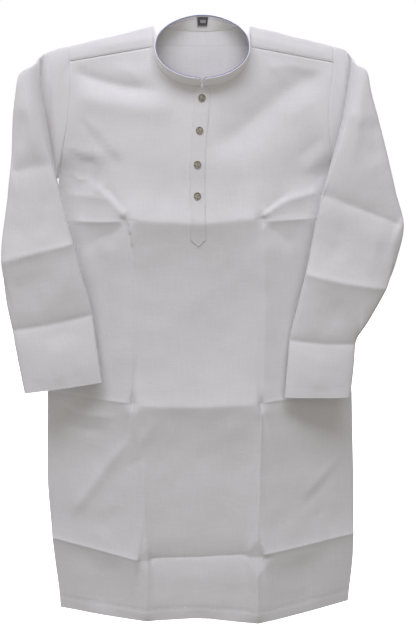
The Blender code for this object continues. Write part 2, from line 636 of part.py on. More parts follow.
def neck_tab():
    """The small woven tab, flat against the inside of the collar at the centre back."""
    columns, rows = 4, 4

    def place(i, j):
        angle = (2 * i / columns - 1) * TAB_HALF_WIDTH / COLLAR_HALF_WIDTH
        up = mix(TAB_TOP_SHARE, TAB_BOTTOM_SHARE, j / rows)
        foot, top = neck_ring(angle), collar_top(angle)
        point = foot.lerp(top, up)
        inward = COLLAR_WALL / 2 + SEAM_GAP + TAB_WALL / 2
        return point + Vector((0, -inward, -inward * 0.25))

    cloth("neck_tab", columns, rows, place, material=DARK_WEAVE, wall=TAB_WALL)


def strip_point(offset, z, out):
    """A point at an offset from the placket's centre line, moved out from the front panel."""
    x = body_row(z).centre + offset
    return Vector((x, layer_y("front", x, z) - out, z))


def placket_rows(end):
    """Heights of a placket's rows: the front panel's own, so that their facets lie parallel."""
    top = neckline_z(0.0) - PLACKET_TOP_GAP
    first = [mix(top, FRONT_ROWS[0], k / TOP_ROWS) for k in range(TOP_ROWS)]
    return first + [z for z in FRONT_ROWS if z > end] + [end]


def placket():
    """The visible placket strip, with a pointed end and four buttonholes."""
    heights = placket_rows(PLACKET_END)
    offsets = [share * PLACKET_HALF for share in (-1, -0.5, -SLIT_HALF / PLACKET_HALF)]
    offsets += [-offset for offset in reversed(offsets)]

    def place(i, j):
        z = heights[j]
        if j == len(heights) - 1:
            z -= PLACKET_POINT * (1 - abs(offsets[i]) / PLACKET_HALF)
        return strip_point(offsets[i], z, LAYER_STEP)

    strip = cloth("placket", len(offsets) - 1, len(heights) - 1, place)
    for number, height in enumerate(BUTTON_HEIGHTS, 1):
        spot = strip_point(0.0, height, LAYER_STEP)
        cutter = buttonhole_cutter(f"buttonhole_{number}", spot)
        cut = strip.modifiers.new(cutter.name, "BOOLEAN")
        cut.operation = "DIFFERENCE"
        cut.object = cutter


def buttonhole_cutter(name, spot):
    """A slot along the placket, cut through its wall only."""
    bpy.ops.mesh.primitive_cube_add(size=1.0, location=spot)
    cutter = bpy.context.object
    cutter.name = name
    half_width, half_length = BUTTONHOLE_HALF
    cutter.scale = (2 * half_width, 4 * WALL, 2 * half_length)
    cutter.hide_render = True
    cutter.display_type = "WIRE"
    for owner in cutter.users_collection:
        owner.objects.unlink(cutter)
    CUTTERS.objects.link(cutter)
    return cutter


def under_placket():
    """The hidden strip behind the slit, which carries the buttons."""
    heights = placket_rows(PLACKET_END)
    offsets = [-UNDER_PLACKET_HALF, -SLIT_HALF, SLIT_HALF, UNDER_PLACKET_HALF]
    cloth(
        "under_placket",
        len(offsets) - 1,
        len(heights) - 1,
        lambda i, j: strip_point(offsets[i], heights[j], -LAYER_STEP),
    )


def button(number, height):
    """A four-hole button with a sunk face, on a short thread shank through the buttonhole."""
    base = strip_point(0.0, height, LAYER_STEP + WALL / 2 + SEAM_GAP)
    shank_length = 2 * LAYER_STEP
    outline = [
        (0.0, BUTTON_THICK * 0.60),
        (BUTTON_RADIUS * 0.58, BUTTON_THICK * 0.60),
        (BUTTON_RADIUS * 0.72, BUTTON_THICK * 0.98),
        (BUTTON_RADIUS * 0.90, BUTTON_THICK),
        (BUTTON_RADIUS, BUTTON_THICK * 0.62),
        (BUTTON_RADIUS, BUTTON_THICK * 0.22),
        (BUTTON_RADIUS * 0.88, 0.0),
        (SHANK_RADIUS, 0.0),
        (SHANK_RADIUS, -shank_length),
        (0.0, -shank_length),
    ]
    bm = bmesh.new()
    profile = [bm.verts.new((radius, 0.0, level)) for radius, level in outline]
    edges = [bm.edges.new(pair) for pair in zip(profile, profile[1:])]
    bmesh.ops.spin(
        bm,
        geom=profile + edges,
        cent=(0, 0, 0),
        axis=(0, 0, 1),
        angle=2 * math.pi,
        steps=BUTTON_STEPS,
        use_merge=True,
    )
    bmesh.ops.remove_doubles(bm, verts=bm.verts, dist=1e-6)
    bmesh.ops.recalc_face_normals(bm, faces=bm.faces)
    mesh = bpy.data.meshes.new(f"button_{number}")
    bm.to_mesh(mesh)
    bm.free()
    obj = add_object(f"button_{number}", mesh, SMOKY_SHELL)
    above = strip_point(0.0, height + BUTTON_RADIUS, 0.0)
    below = strip_point(0.0, height - BUTTON_RADIUS, 0.0)
    upward = (above - below).normalized()
    facing = Vector((1, 0, 0)).cross(upward).normalized()
    facing = facing if facing.y < 0 else -facing
    obj.rotation_euler = facing.to_track_quat("Z", "Y").to_euler()
    obj.location = base


def clear_scene():
    for obj in list(bpy.data.objects):
        bpy.data.objects.remove(obj)


def new_collection(name):
    made = bpy.data.collections.new(name)
    bpy.context.scene.collection.children.link(made)
    return made


clear_scene()
GARMENT = new_collection("kurta")
CUTTERS = new_collection("cutters")
CUTTERS.hide_render = True

front_panel()
back_panel()
yoke()
sleeve("sleeve_left", -1, SLEEVE_LEFT)
sleeve("sleeve_right", 1, SLEEVE_RIGHT)
collar_band()
neck_tab()
placket()
under_placket()
for place_in_row, button_height in enumerate(BUTTON_HEIGHTS, 1):
    button(place_in_row, button_height)
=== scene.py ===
"""A white cotton kurta tunic, held up by its shoulders: its cloth, creases, seams and buttons over the frame.

Metres, +Z up, the garment's front faces -Y. The origin lies midway between the two places where it is held.
"""

import math
from collections import namedtuple
from functools import lru_cache, partial

import bpy
import numpy as np
from mathutils import Matrix, Vector, noise


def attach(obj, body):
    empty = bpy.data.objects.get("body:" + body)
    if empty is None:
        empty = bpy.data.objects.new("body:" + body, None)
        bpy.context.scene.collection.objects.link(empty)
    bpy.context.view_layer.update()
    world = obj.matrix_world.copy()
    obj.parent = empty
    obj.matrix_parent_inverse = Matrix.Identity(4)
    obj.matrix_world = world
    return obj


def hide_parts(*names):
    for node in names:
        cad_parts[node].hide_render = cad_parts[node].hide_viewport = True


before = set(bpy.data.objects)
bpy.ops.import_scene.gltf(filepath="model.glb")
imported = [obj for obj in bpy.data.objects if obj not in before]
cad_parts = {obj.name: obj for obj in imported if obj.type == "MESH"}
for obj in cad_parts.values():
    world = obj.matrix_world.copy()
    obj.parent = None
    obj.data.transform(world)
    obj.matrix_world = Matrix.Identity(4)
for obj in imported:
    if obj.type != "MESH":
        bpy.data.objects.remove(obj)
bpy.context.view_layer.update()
bpy.ops.object.select_all(action="DESELECT")

# Sizes of the cloth, as in the frame
CLOTH = 0.0006
STRIP_CLOTH = 0.0008
BAND_CLOTH = 0.0015
STRIP_STEP = 0.0011
SEAM_DIP = 0.0014
SEAM_REACH = 0.0015
SEAM_TUCK = 0.0022
UNDER_SEAM = 0.0012
TOPSTITCH = 0.0018
COLLAR_INNER_ROW = 0.0066
PIPING_RADIUS = 0.0008
VENT_TURN = 0.0090
BUTTONHOLE = 0.0165
BAR_HEIGHTS = [-0.2640, -0.2690]
STITCH = 0.0026
STITCH_GAP = 0.0009
STITCH_RADIUS = 0.00024

BodyRow = namedtuple("BodyRow", "height left right centre fold_left fold_right seam_y front back open panels")
BODY = [
    BodyRow(0.060, 0.2295, 0.2330, 0.0035, 0.0885, 0.0885, 0.000, 0.0150, 0.0110, 0.0060, 0.0),
    BodyRow(0.014, 0.2285, 0.2320, 0.0030, 0.0885, 0.0885, 0.000, 0.0190, 0.0140, 0.0110, 0.0),
    BodyRow(-0.030, 0.2290, 0.2265, 0.0030, 0.0895, 0.0890, 0.000, 0.0260, 0.0180, 0.0170, 0.0),
    BodyRow(-0.090, 0.2340, 0.2245, -0.0005, 0.0980, 0.0940, 0.000, 0.0330, 0.0230, 0.0200, 0.0),
    BodyRow(-0.145, 0.2435, 0.2300, -0.0045, 0.1090, 0.1020, 0.000, 0.0380, 0.0270, 0.0150, 0.2),
    BodyRow(-0.195, 0.2525, 0.2420, -0.0060, 0.1170, 0.1080, 0.001, 0.0430, 0.0310, 0.0003, 0.5),
    BodyRow(-0.268, 0.2580, 0.2520, -0.0050, 0.1230, 0.1140, 0.003, 0.0500, 0.0350, 0.0003, 1.0),
    BodyRow(-0.430, 0.2700, 0.2660, -0.0030, 0.1210, 0.1170, 0.006, 0.0500, 0.0370, 0.0003, 1.0),
    BodyRow(-0.600, 0.2820, 0.2770, -0.0020, 0.1220, 0.1120, 0.010, 0.0600, 0.0400, 0.0003, 1.0),
    BodyRow(-0.712, 0.2856, 0.2820, -0.0020, 0.1070, 0.1095, 0.013, 0.0635, 0.0420, 0.0003, 1.0),
    BodyRow(-0.740, 0.2860, 0.2832, -0.0018, 0.1030, 0.1090, 0.013, 0.0645, 0.0420, 0.0012, 1.0),
    BodyRow(-0.890, 0.2765, 0.2850, 0.0000, 0.0990, 0.1040, 0.016, 0.0730, 0.0440, 0.0060, 1.0),
    BodyRow(-1.012, 0.2660, 0.2765, 0.0000, 0.0995, 0.1050, 0.016, 0.0760, 0.0460, 0.0100, 1.0),
]
FOLD_SHARE = 0.45
ARMPIT_Z = -0.195
YOKE_MEETS_Z = -0.080
VENT_TOP = -0.716
HEM = {"left": -1.005, "fold_left": -1.006, "centre": -1.000, "fold_right": -1.011, "right": -0.992}
BACK_HEM_LIFT = 0.006
BACK_INSET = 0.006
HEM_TURN = 0.022
HEM_DIP = 0.0007

# A crease runs along a path in the front view. height is how far it stands forward, and back if negative.
# over and under are how soon it dies away on its two sides (over is above a path that runs to the right),
# round is how blunt it is, and fade is how much of each end dies out.
Crease = namedtuple("Crease", "path height over under round fade")

PRESSED_EDGE = 0.0009
CRISP_ROUND = 0.0020
DEEP_FOLD = 0.005


def pressed_edges(creases, reach, blunt, fade):
    """The sharp edge that the iron leaves along each of some pressed folds."""
    return [
        Crease(crease.path, math.copysign(PRESSED_EDGE, crease.height), reach, reach, blunt, fade)
        for crease in creases
    ]


CHEST_LINE = [(-0.262, -0.270), (-0.212, -0.269), (-0.138, -0.268), (-0.128, -0.264), (-0.071, -0.269),
              (-0.001, -0.272), (0.060, -0.267), (0.109, -0.262), (0.206, -0.267), (0.256, -0.268)]
HIP_LINE = [(-0.285, -0.588), (-0.267, -0.586), (-0.124, -0.595), (-0.074, -0.601), (-0.002, -0.601),
            (0.110, -0.595), (0.133, -0.591), (0.285, -0.590)]
KNEE_LINE = [(-0.285, -0.866), (-0.262, -0.868), (-0.111, -0.888), (-0.098, -0.888), (0.000, -0.885),
             (0.089, -0.880), (0.111, -0.876), (0.274, -0.859), (0.290, -0.858)]

# Pressed in packing, through both layers: three folds across and two down.
PRESSED = [
    Crease(CHEST_LINE[2:8], 0.0096, 0.026, 0.036, 0.0046, 0.020),
    Crease(CHEST_LINE[0:3], 0.0020, 0.020, 0.024, 0.0030, 0.060),
    Crease(CHEST_LINE[7:10], 0.0022, 0.020, 0.024, 0.0030, 0.060),
    Crease(HIP_LINE[2:6], 0.0104, 0.036, 0.040, 0.0036, 0.012),
    Crease(HIP_LINE[0:3], 0.0055, 0.034, 0.036, 0.0015, 0.004),
    Crease(HIP_LINE[5:8], 0.0055, 0.034, 0.036, 0.0015, 0.004),
    Crease(KNEE_LINE[3:6], -0.0080, 0.036, 0.040, 0.0014, 0.010),
    Crease(KNEE_LINE[0:3], 0.0088, 0.036, 0.042, 0.0012, 0.006),
    Crease(KNEE_LINE[6:9], 0.0088, 0.036, 0.042, 0.0012, 0.006),
    Crease([(-0.128, -0.265), (-0.124, -0.430), (-0.122, -0.595)], 0.0026, 0.018, 0.022, 0.0020, 0.030),
    Crease([(-0.122, -0.595), (-0.105, -0.720), (-0.099, -0.891), (-0.100, -1.010)],
           0.0034, 0.020, 0.022, 0.0010, 0.020),
    Crease([(0.109, -0.262), (0.115, -0.408), (0.110, -0.595)], 0.0026, 0.022, 0.018, 0.0020, 0.030),
    Crease([(0.110, -0.595), (0.107, -0.739), (0.103, -0.882), (0.105, -1.012)],
           0.0036, 0.022, 0.020, 0.0010, 0.020),
]

CRISP_FOLDS = [crease for crease in PRESSED if crease.round < CRISP_ROUND]
PRESSED_EDGES = pressed_edges(CRISP_FOLDS, 0.0040, 0.0004, 0.010)

# Where two pressed folds cross, the cloth dents in a small diamond: centre, reach and depth.
DIAMONDS = [
    ((0.1035, -0.884), 0.034, 0.0072), ((-0.099, -0.890), 0.024, 0.0030), ((-0.128, -0.266), 0.020, 0.0024),
    ((0.109, -0.264), 0.020, 0.0026), ((-0.123, -0.596), 0.020, 0.0024), ((0.110, -0.596), 0.016, 0.0018),
]

FRONT_CREASES = [
    # Swags that hang between the two places where the shoulders are held.
    Crease([(-0.276, 0.002), (-0.228, -0.008), (-0.178, -0.025), (-0.131, -0.037), (-0.064, -0.044)],
           -0.0088, 0.013, 0.013, 0.0030, 0.060),
    Crease([(-0.236, -0.042), (-0.175, -0.060), (-0.105, -0.071), (-0.040, -0.074)],
           0.0056, 0.014, 0.024, 0.010, 0.050),
    Crease([(-0.228, 0.021), (-0.214, 0.010), (-0.200, -0.001)], 0.0016, 0.004, 0.006, 0.0010, 0.010),
    Crease([(-0.150, 0.004), (-0.120, -0.012), (-0.098, -0.030)], 0.0020, 0.008, 0.010, 0.003, 0.025),
    Crease([(0.236, -0.006), (0.172, -0.030), (0.112, -0.074), (0.064, -0.116), (0.014, -0.150)],
           -0.0120, 0.036, 0.030, 0.010, 0.060),
    Crease([(0.226, -0.046), (0.180, -0.070), (0.140, -0.100)], 0.0030, 0.014, 0.020, 0.010, 0.040),
    Crease([(0.224, -0.012), (0.160, 0.000), (0.108, 0.000)], 0.0026, 0.010, 0.012, 0.004, 0.030),
    Crease([(0.112, 0.010), (0.140, -0.014), (0.156, -0.034)], 0.0014, 0.006, 0.008, 0.002, 0.020),
    # Crumples that fan out from the armpits.
    Crease([(-0.240, -0.128), (-0.215, -0.148), (-0.169, -0.158)], 0.0034, 0.007, 0.009, 0.0016, 0.020),
    Crease([(-0.236, -0.146), (-0.210, -0.163), (-0.180, -0.170)], -0.0024, 0.007, 0.008, 0.0020, 0.020),
    Crease([(-0.217, -0.089), (-0.190, -0.117), (-0.165, -0.146), (-0.140, -0.178)],
           -0.0030, 0.009, 0.010, 0.0016, 0.025),
    Crease([(-0.205, -0.086), (-0.168, -0.128), (-0.132, -0.158)], 0.0022, 0.010, 0.012, 0.004, 0.025),
    Crease([(-0.192, -0.144), (-0.192, -0.170), (-0.188, -0.211)], -0.0022, 0.006, 0.007, 0.0010, 0.016),
    Crease([(-0.238, -0.180), (-0.215, -0.196), (-0.196, -0.198)], 0.0022, 0.007, 0.008, 0.0016, 0.016),
    Crease([(0.226, -0.112), (0.196, -0.142), (0.164, -0.162)], -0.0028, 0.009, 0.010, 0.0020, 0.024),
    Crease([(0.228, -0.138), (0.204, -0.168), (0.176, -0.184)], 0.0028, 0.008, 0.010, 0.0018, 0.022),
    Crease([(0.232, -0.166), (0.210, -0.196), (0.198, -0.210)], -0.0022, 0.007, 0.008, 0.0016, 0.018),
    # Short folds that run into the ends of the chest line.
    Crease([(-0.250, -0.225), (-0.195, -0.226), (-0.152, -0.234)], 0.0028, 0.008, 0.012, 0.0012, 0.030),
    Crease([(-0.188, -0.207), (-0.163, -0.228), (-0.131, -0.263)], 0.0046, 0.007, 0.010, 0.0010, 0.014),
    Crease([(-0.174, -0.206), (-0.150, -0.228), (-0.128, -0.250)], -0.0024, 0.007, 0.007, 0.0010, 0.014),
    Crease([(-0.231, -0.271), (-0.181, -0.271), (-0.132, -0.268)], 0.0030, 0.007, 0.009, 0.0010, 0.020),
    Crease([(0.104, -0.262), (0.129, -0.246), (0.153, -0.232), (0.210, -0.218)],
           0.0054, 0.008, 0.012, 0.0010, 0.012),
    Crease([(0.110, -0.252), (0.132, -0.234), (0.157, -0.218)], -0.0028, 0.006, 0.007, 0.0010, 0.014),
    Crease([(0.110, -0.269), (0.150, -0.267), (0.200, -0.265)], 0.0028, 0.007, 0.010, 0.0010, 0.020),
    Crease([(-0.136, -0.272), (-0.156, -0.296), (-0.164, -0.322)], -0.0020, 0.008, 0.010, 0.0016, 0.020),
    Crease([(-0.146, -0.284), (-0.190, -0.306), (-0.214, -0.330)], -0.0022, 0.010, 0.012, 0.003, 0.030),
    Crease([(0.116, -0.272), (0.146, -0.300), (0.170, -0.318)], -0.0022, 0.010, 0.012, 0.003, 0.024),
    # Long soft troughs down the front between the pressed folds.
    Crease([(-0.060, -0.320), (-0.066, -0.430), (-0.058, -0.560)], -0.0022, 0.020, 0.020, 0.012, 0.090),
    Crease([(0.058, -0.330), (0.064, -0.450), (0.052, -0.560)], -0.0020, 0.020, 0.020, 0.012, 0.090),
    Crease([(-0.196, -0.350), (-0.206, -0.460), (-0.204, -0.560)], -0.0028, 0.020, 0.022, 0.012, 0.090),
    Crease([(0.188, -0.350), (0.196, -0.470), (0.200, -0.560)], -0.0028, 0.020, 0.022, 0.012, 0.090),
    Crease([(-0.050, -0.160), (-0.062, -0.215), (-0.058, -0.262)], -0.0018, 0.016, 0.016, 0.008, 0.040),
    Crease([(0.060, -0.170), (0.070, -0.220), (0.064, -0.258)], -0.0018, 0.016, 0.016, 0.008, 0.040),
    # Below the hip line.
    Crease([(-0.124, -0.654), (-0.180, -0.730), (-0.243, -0.824)], 0.0026, 0.018, 0.020, 0.0030, 0.060),
    Crease([(-0.124, -0.654), (-0.180, -0.730), (-0.243, -0.824)], 0.0034, 0.0060, 0.0070, 0.0008, 0.050),
    Crease([(-0.074, -0.617), (-0.114, -0.679)], 0.0024, 0.010, 0.012, 0.0020, 0.026),
    Crease([(-0.096, -0.692), (-0.143, -0.720)], -0.0022, 0.010, 0.010, 0.0020, 0.020),
    Crease([(-0.270, -0.602), (-0.227, -0.623), (-0.146, -0.623)], 0.0028, 0.009, 0.012, 0.0020, 0.040),
    Crease([(-0.264, -0.640), (-0.214, -0.652), (-0.170, -0.650)], -0.0020, 0.010, 0.010, 0.0020, 0.030),
    Crease([(0.214, -0.604), (0.259, -0.628)], 0.0026, 0.009, 0.011, 0.0020, 0.016),
    Crease([(0.140, -0.616), (0.196, -0.640), (0.262, -0.662)], -0.0020, 0.012, 0.012, 0.004, 0.040),
    Crease([(0.272, -0.692), (0.230, -0.735), (0.180, -0.786)], 0.0026, 0.007, 0.008, 0.0010, 0.040),
    Crease([(0.252, -0.730), (0.180, -0.808)], -0.0024, 0.012, 0.014, 0.0020, 0.040),
    Crease([(0.050, -0.640), (0.058, -0.740), (0.046, -0.850)], -0.0030, 0.022, 0.024, 0.012, 0.090),
    Crease([(-0.040, -0.650), (-0.050, -0.750), (-0.040, -0.850)], -0.0024, 0.022, 0.022, 0.012, 0.090),
    Crease([(-0.150, -0.790), (-0.190, -0.850)], -0.0022, 0.014, 0.014, 0.004, 0.030),
    Crease([(0.190, -0.830), (0.245, -0.800)], -0.0020, 0.014, 0.014, 0.004, 0.026),
    # Down to the hem.
    Crease([(-0.180, -0.890), (-0.186, -1.000)], -0.0026, 0.018, 0.018, 0.008, 0.030),
    Crease([(0.190, -0.884), (0.196, -0.990)], -0.0028, 0.018, 0.018, 0.008, 0.030),
    Crease([(0.000, -0.900), (-0.004, -1.000)], 0.0024, 0.020, 0.020, 0.008, 0.030),
    Crease([(0.062, -0.930), (0.050, -1.004)], -0.0020, 0.016, 0.016, 0.008, 0.026),
]
BACK_CREASES = [
    Crease([(-0.225, -0.004), (-0.120, -0.052), (-0.010, -0.110)], 0.0060, 0.022, 0.026, 0.012, 0.060),
    Crease([(0.225, -0.008), (0.120, -0.070), (0.012, -0.140)], 0.0060, 0.022, 0.026, 0.012, 0.060),
    Crease([(-0.190, -0.100), (-0.020, -0.150), (0.150, -0.170)], -0.0040, 0.024, 0.028, 0.012, 0.080),
    Crease([(-0.238, -0.120), (-0.170, -0.176)], 0.0030, 0.010, 0.014, 0.004, 0.035),
    Crease([(0.228, -0.110), (0.160, -0.180)], 0.0034, 0.010, 0.014, 0.004, 0.035),
    Crease([(-0.110, 0.020), (-0.100, -0.060)], 0.0022, 0.014, 0.014, 0.006, 0.035),
    Crease([(0.104, 0.020), (0.092, -0.070)], 0.0022, 0.014, 0.014, 0.006, 0.035),
    Crease([(-0.222, -0.214), (-0.130, -0.246)], -0.0028, 0.012, 0.014, 0.0020, 0.035),
    Crease([(0.116, -0.252), (0.216, -0.206)], -0.0030, 0.012, 0.014, 0.0020, 0.035),
    Crease([(-0.200, -0.340), (-0.210, -0.540)], 0.0026, 0.022, 0.022, 0.012, 0.080),
    Crease([(0.196, -0.350), (0.206, -0.560)], 0.0028, 0.022, 0.022, 0.012, 0.080),
    Crease([(0.010, -0.330), (-0.004, -0.560)], 0.0024, 0.026, 0.026, 0.012, 0.090),
    Crease([(0.126, -0.640), (0.190, -0.730), (0.246, -0.820)], -0.0038, 0.018, 0.020, 0.0030, 0.060),
    Crease([(-0.262, -0.680), (-0.190, -0.770)], -0.0028, 0.014, 0.014, 0.0024, 0.045),
    Crease([(-0.256, -0.622), (-0.150, -0.634)], -0.0026, 0.011, 0.012, 0.0020, 0.040),
    Crease([(0.070, -0.624), (0.108, -0.680)], -0.0022, 0.010, 0.012, 0.0020, 0.024),
    Crease([(-0.030, -0.650), (-0.044, -0.850)], 0.0028, 0.024, 0.024, 0.012, 0.090),
    Crease([(0.186, -0.890), (0.190, -0.990)], 0.0026, 0.018, 0.018, 0.008, 0.030),
    Crease([(-0.176, -0.900), (-0.182, -0.996)], 0.0026, 0.018, 0.018, 0.008, 0.030),
    Crease([(0.040, -0.910), (0.046, -0.998)], -0.0022, 0.018, 0.018, 0.008, 0.030),
]

# Front opening, neck and shoulders
PLACKET_HALF = 0.0138
SLIT_HALF = 0.0022
SLIT_END = -0.290
PLACKET_END = -0.300
PLACKET_POINT = 0.013
PLACKET_TOP_GAP = 0.0016
UNDER_PLACKET_HALF = 0.0120
BUTTON_HEIGHTS = [-0.0542, -0.1103, -0.1690, -0.2235]
BUTTON_RADIUS = 0.0064
BUTTON_THICK = 0.0026
BUTTON_SEAT = 0.0023
BUTTON_INSETS = (
    {"thickness": 0.0014, "depth": 0.0},
    {"thickness": 0.0006, "depth": -0.0008},
    {"thickness": 0.0002, "depth": 0.0},
)
HOLE_CIRCLE = 0.0015
HOLE_RADIUS = 0.00058

NECK_CENTRE = 0.0020
NECK_HALF_WIDTH = 0.0838
NECK_SEAM_Z = 0.0340
NECK_DROP = 0.0680
NECK_ROUNDNESS = 2.2
YOKE_BACK_Z = 0.0345
YOKE_ROWS = 8
YOKE_NECK_ROWS = 5
YOKE_ROW = 0.0075
YOKE_LENGTH = 0.145
NECK_ANGLES = [90.0, 83.0, 76.0, 69.0, 63.0, 55.0, 42.0, 29.0, 14.2, 0.0]
NECK_SIDE = [
    (0.0838, -0.0172, 0.0340), (0.0843, -0.0140, 0.0475), (0.0843, -0.0085, 0.0605),
    (0.0831, -0.0025, 0.0692), (0.0796, 0.0030, 0.0715), (0.0731, 0.0070, 0.0700),
    (0.0571, 0.0098, 0.0660), (0.0401, 0.0112, 0.0630), (0.0200, 0.0120, 0.0605),
    (0.0000, 0.0122, 0.0597),
]
Shoulder = namedtuple("Shoulder", "ridge front_seam back_seam")
SHOULDERS = {-1: Shoulder(0.0355, 0.0090, 0.0080), 1: Shoulder(0.0350, 0.0070, 0.0065)}

COLLAR_CENTRE = 0.0030
COLLAR_HALF_WIDTH = 0.0815
COLLAR_MIDDLE_Z = 0.0337
COLLAR_HALF_HEIGHT = 0.0545
COLLAR_FRONT_Y = -0.0500
COLLAR_BACK_Y = 0.0040
COLLAR_LEAN_POWER = 2.6
COLLAR_CORNER = 0.0085
COLLAR_END_SHARE = 0.16
TAB_HALF_WIDTH = 0.0103
TAB_HALF_HEIGHT = 0.0090
TAB_BORDER_FROM = 0.0090
TAB_PATCH_HALF = 0.0044
TAB_TOP_SHARE = 0.93
TAB_BOTTOM_SHARE = 0.30

# Sleeves
SleeveRow = namedtuple(
    "SleeveRow", "inner_x inner_z inner_y outer_x outer_z outer_y front_out front_y back_out back_y held"
)
SLEEVE_LEFT = [
    SleeveRow(0.2600, -0.1990, 0.000, 0.2480, 0.0310, 0.000, 0.000, -0.0170, 0.000, 0.0160, 1.0),
    SleeveRow(0.2680, -0.2030, -0.002, 0.2680, 0.0240, -0.001, 0.004, -0.0110, 0.006, 0.0120, 1.0),
    SleeveRow(0.2720, -0.2070, -0.010, 0.2790, 0.0180, -0.010, 0.008, -0.0150, 0.020, -0.0070, 1.0),
    SleeveRow(0.2640, -0.2130, -0.024, 0.2825, 0.0130, -0.024, 0.002, -0.0200, 0.012, -0.0300, 1.0),
    SleeveRow(0.2510, -0.2190, -0.037, 0.2850, 0.0070, -0.034, -0.001, -0.0360, 0.010, -0.0350, 1.0),
    SleeveRow(0.2465, -0.2260, -0.045, 0.2920, -0.0010, -0.045, 0.000, -0.0530, 0.011, -0.0390, 0.5),
    SleeveRow(0.2435, -0.2350, -0.050, 0.3020, -0.0060, -0.050, 0.000, -0.0610, 0.012, -0.0415, 0.0),
    SleeveRow(0.2410, -0.2450, -0.051, 0.3120, -0.0150, -0.052, 0.000, -0.0640, 0.012, -0.0405, 0.0),
    SleeveRow(0.2380, -0.2550, -0.051, 0.3190, -0.0500, -0.051, 0.000, -0.0650, 0.010, -0.0385, 0.0),
    SleeveRow(0.2350, -0.2650, -0.050, 0.3250, -0.0950, -0.050, 0.000, -0.0650, 0.006, -0.0355, 0.0),
    SleeveRow(0.2315, -0.2750, -0.048, 0.3285, -0.1500, -0.048, 0.000, -0.0650, 0.002, -0.0325, 0.0),
    SleeveRow(0.2275, -0.2900, -0.047, 0.3370, -0.2220, -0.047, 0.000, -0.0645, 0.000, -0.0300, 0.0),
    SleeveRow(0.2235, -0.3050, -0.046, 0.3505, -0.3260, -0.046, 0.000, -0.0640, 0.000, -0.0280, 0.0),
    SleeveRow(0.2080, -0.3700, -0.047, 0.3460, -0.4000, -0.046, 0.000, -0.0640, 0.000, -0.0290, 0.0),
    SleeveRow(0.1940, -0.4320, -0.049, 0.3360, -0.4600, -0.048, 0.000, -0.0640, 0.000, -0.0330, 0.0),
    SleeveRow(0.1850, -0.4950, -0.053, 0.3255, -0.5200, -0.052, 0.000, -0.0660, 0.000, -0.0385, 0.0),
    SleeveRow(0.1770, -0.5550, -0.056, 0.3150, -0.5750, -0.055, 0.000, -0.0670, 0.000, -0.0430, 0.0),
]
SLEEVE_RIGHT = [
    SleeveRow(0.2540, -0.1975, 0.000, 0.2440, 0.0310, 0.000, 0.004, -0.0160, 0.004, 0.0160, 1.0),
    SleeveRow(0.2640, -0.2005, -0.002, 0.2540, 0.0270, -0.001, 0.011, -0.0110, 0.013, 0.0120, 1.0),
    SleeveRow(0.2680, -0.2035, -0.012, 0.2600, 0.0210, -0.011, 0.016, -0.0160, 0.028, -0.0080, 1.0),
    SleeveRow(0.2490, -0.2060, -0.031, 0.2620, 0.0150, -0.028, 0.006, -0.0230, 0.016, -0.0340, 1.0),
    SleeveRow(0.2270, -0.2110, -0.043, 0.2640, 0.0080, -0.040, -0.001, -0.0375, 0.0085, -0.0450, 1.0),
    SleeveRow(0.2160, -0.2180, -0.051, 0.2700, 0.0010, -0.051, -0.002, -0.0530, 0.0085, -0.0480, 0.5),
    SleeveRow(0.2122, -0.2240, -0.056, 0.2780, -0.0030, -0.057, 0.000, -0.0660, 0.010, -0.0500, 0.0),
    SleeveRow(0.2098, -0.2320, -0.058, 0.2850, -0.0100, -0.059, 0.000, -0.0690, 0.012, -0.0480, 0.0),
    SleeveRow(0.2080, -0.2400, -0.058, 0.2930, -0.0450, -0.059, 0.000, -0.0705, 0.010, -0.0475, 0.0),
    SleeveRow(0.2062, -0.2480, -0.057, 0.3050, -0.0860, -0.058, 0.000, -0.0710, 0.006, -0.0465, 0.0),
    SleeveRow(0.2043, -0.2570, -0.056, 0.3210, -0.1430, -0.057, 0.000, -0.0710, 0.002, -0.0455, 0.0),
    SleeveRow(0.2022, -0.2670, -0.055, 0.3390, -0.2140, -0.056, 0.000, -0.0700, 0.000, -0.0420, 0.0),
    SleeveRow(0.2002, -0.2780, -0.054, 0.3550, -0.2760, -0.053, 0.000, -0.0690, 0.000, -0.0380, 0.0),
    SleeveRow(0.1945, -0.3110, -0.051, 0.3450, -0.3320, -0.051, 0.000, -0.0670, 0.000, -0.0330, 0.0),
    SleeveRow(0.1845, -0.3600, -0.051, 0.3270, -0.3860, -0.050, 0.000, -0.0665, 0.000, -0.0320, 0.0),
    SleeveRow(0.1710, -0.4200, -0.051, 0.3010, -0.4380, -0.050, 0.000, -0.0660, 0.000, -0.0340, 0.0),
    SleeveRow(0.1585, -0.4780, -0.053, 0.2760, -0.4850, -0.052, 0.000, -0.0665, 0.000, -0.0375, 0.0),
    SleeveRow(0.1540, -0.5300, -0.055, 0.2720, -0.5350, -0.054, 0.000, -0.0675, 0.000, -0.0410, 0.0),
    SleeveRow(0.1500, -0.5820, -0.057, 0.2670, -0.5820, -0.056, 0.000, -0.0685, 0.000, -0.0440, 0.0),
]
RING_POINTS = 24
SLEEVE_COLUMNS = 96
FOLDED_ROWS = 8
SECTION_POWER = 0.6
HANGING_FROM = 6.0
CUFF_TURN = 0.022
SLEEVE_GIRTH = 0.42

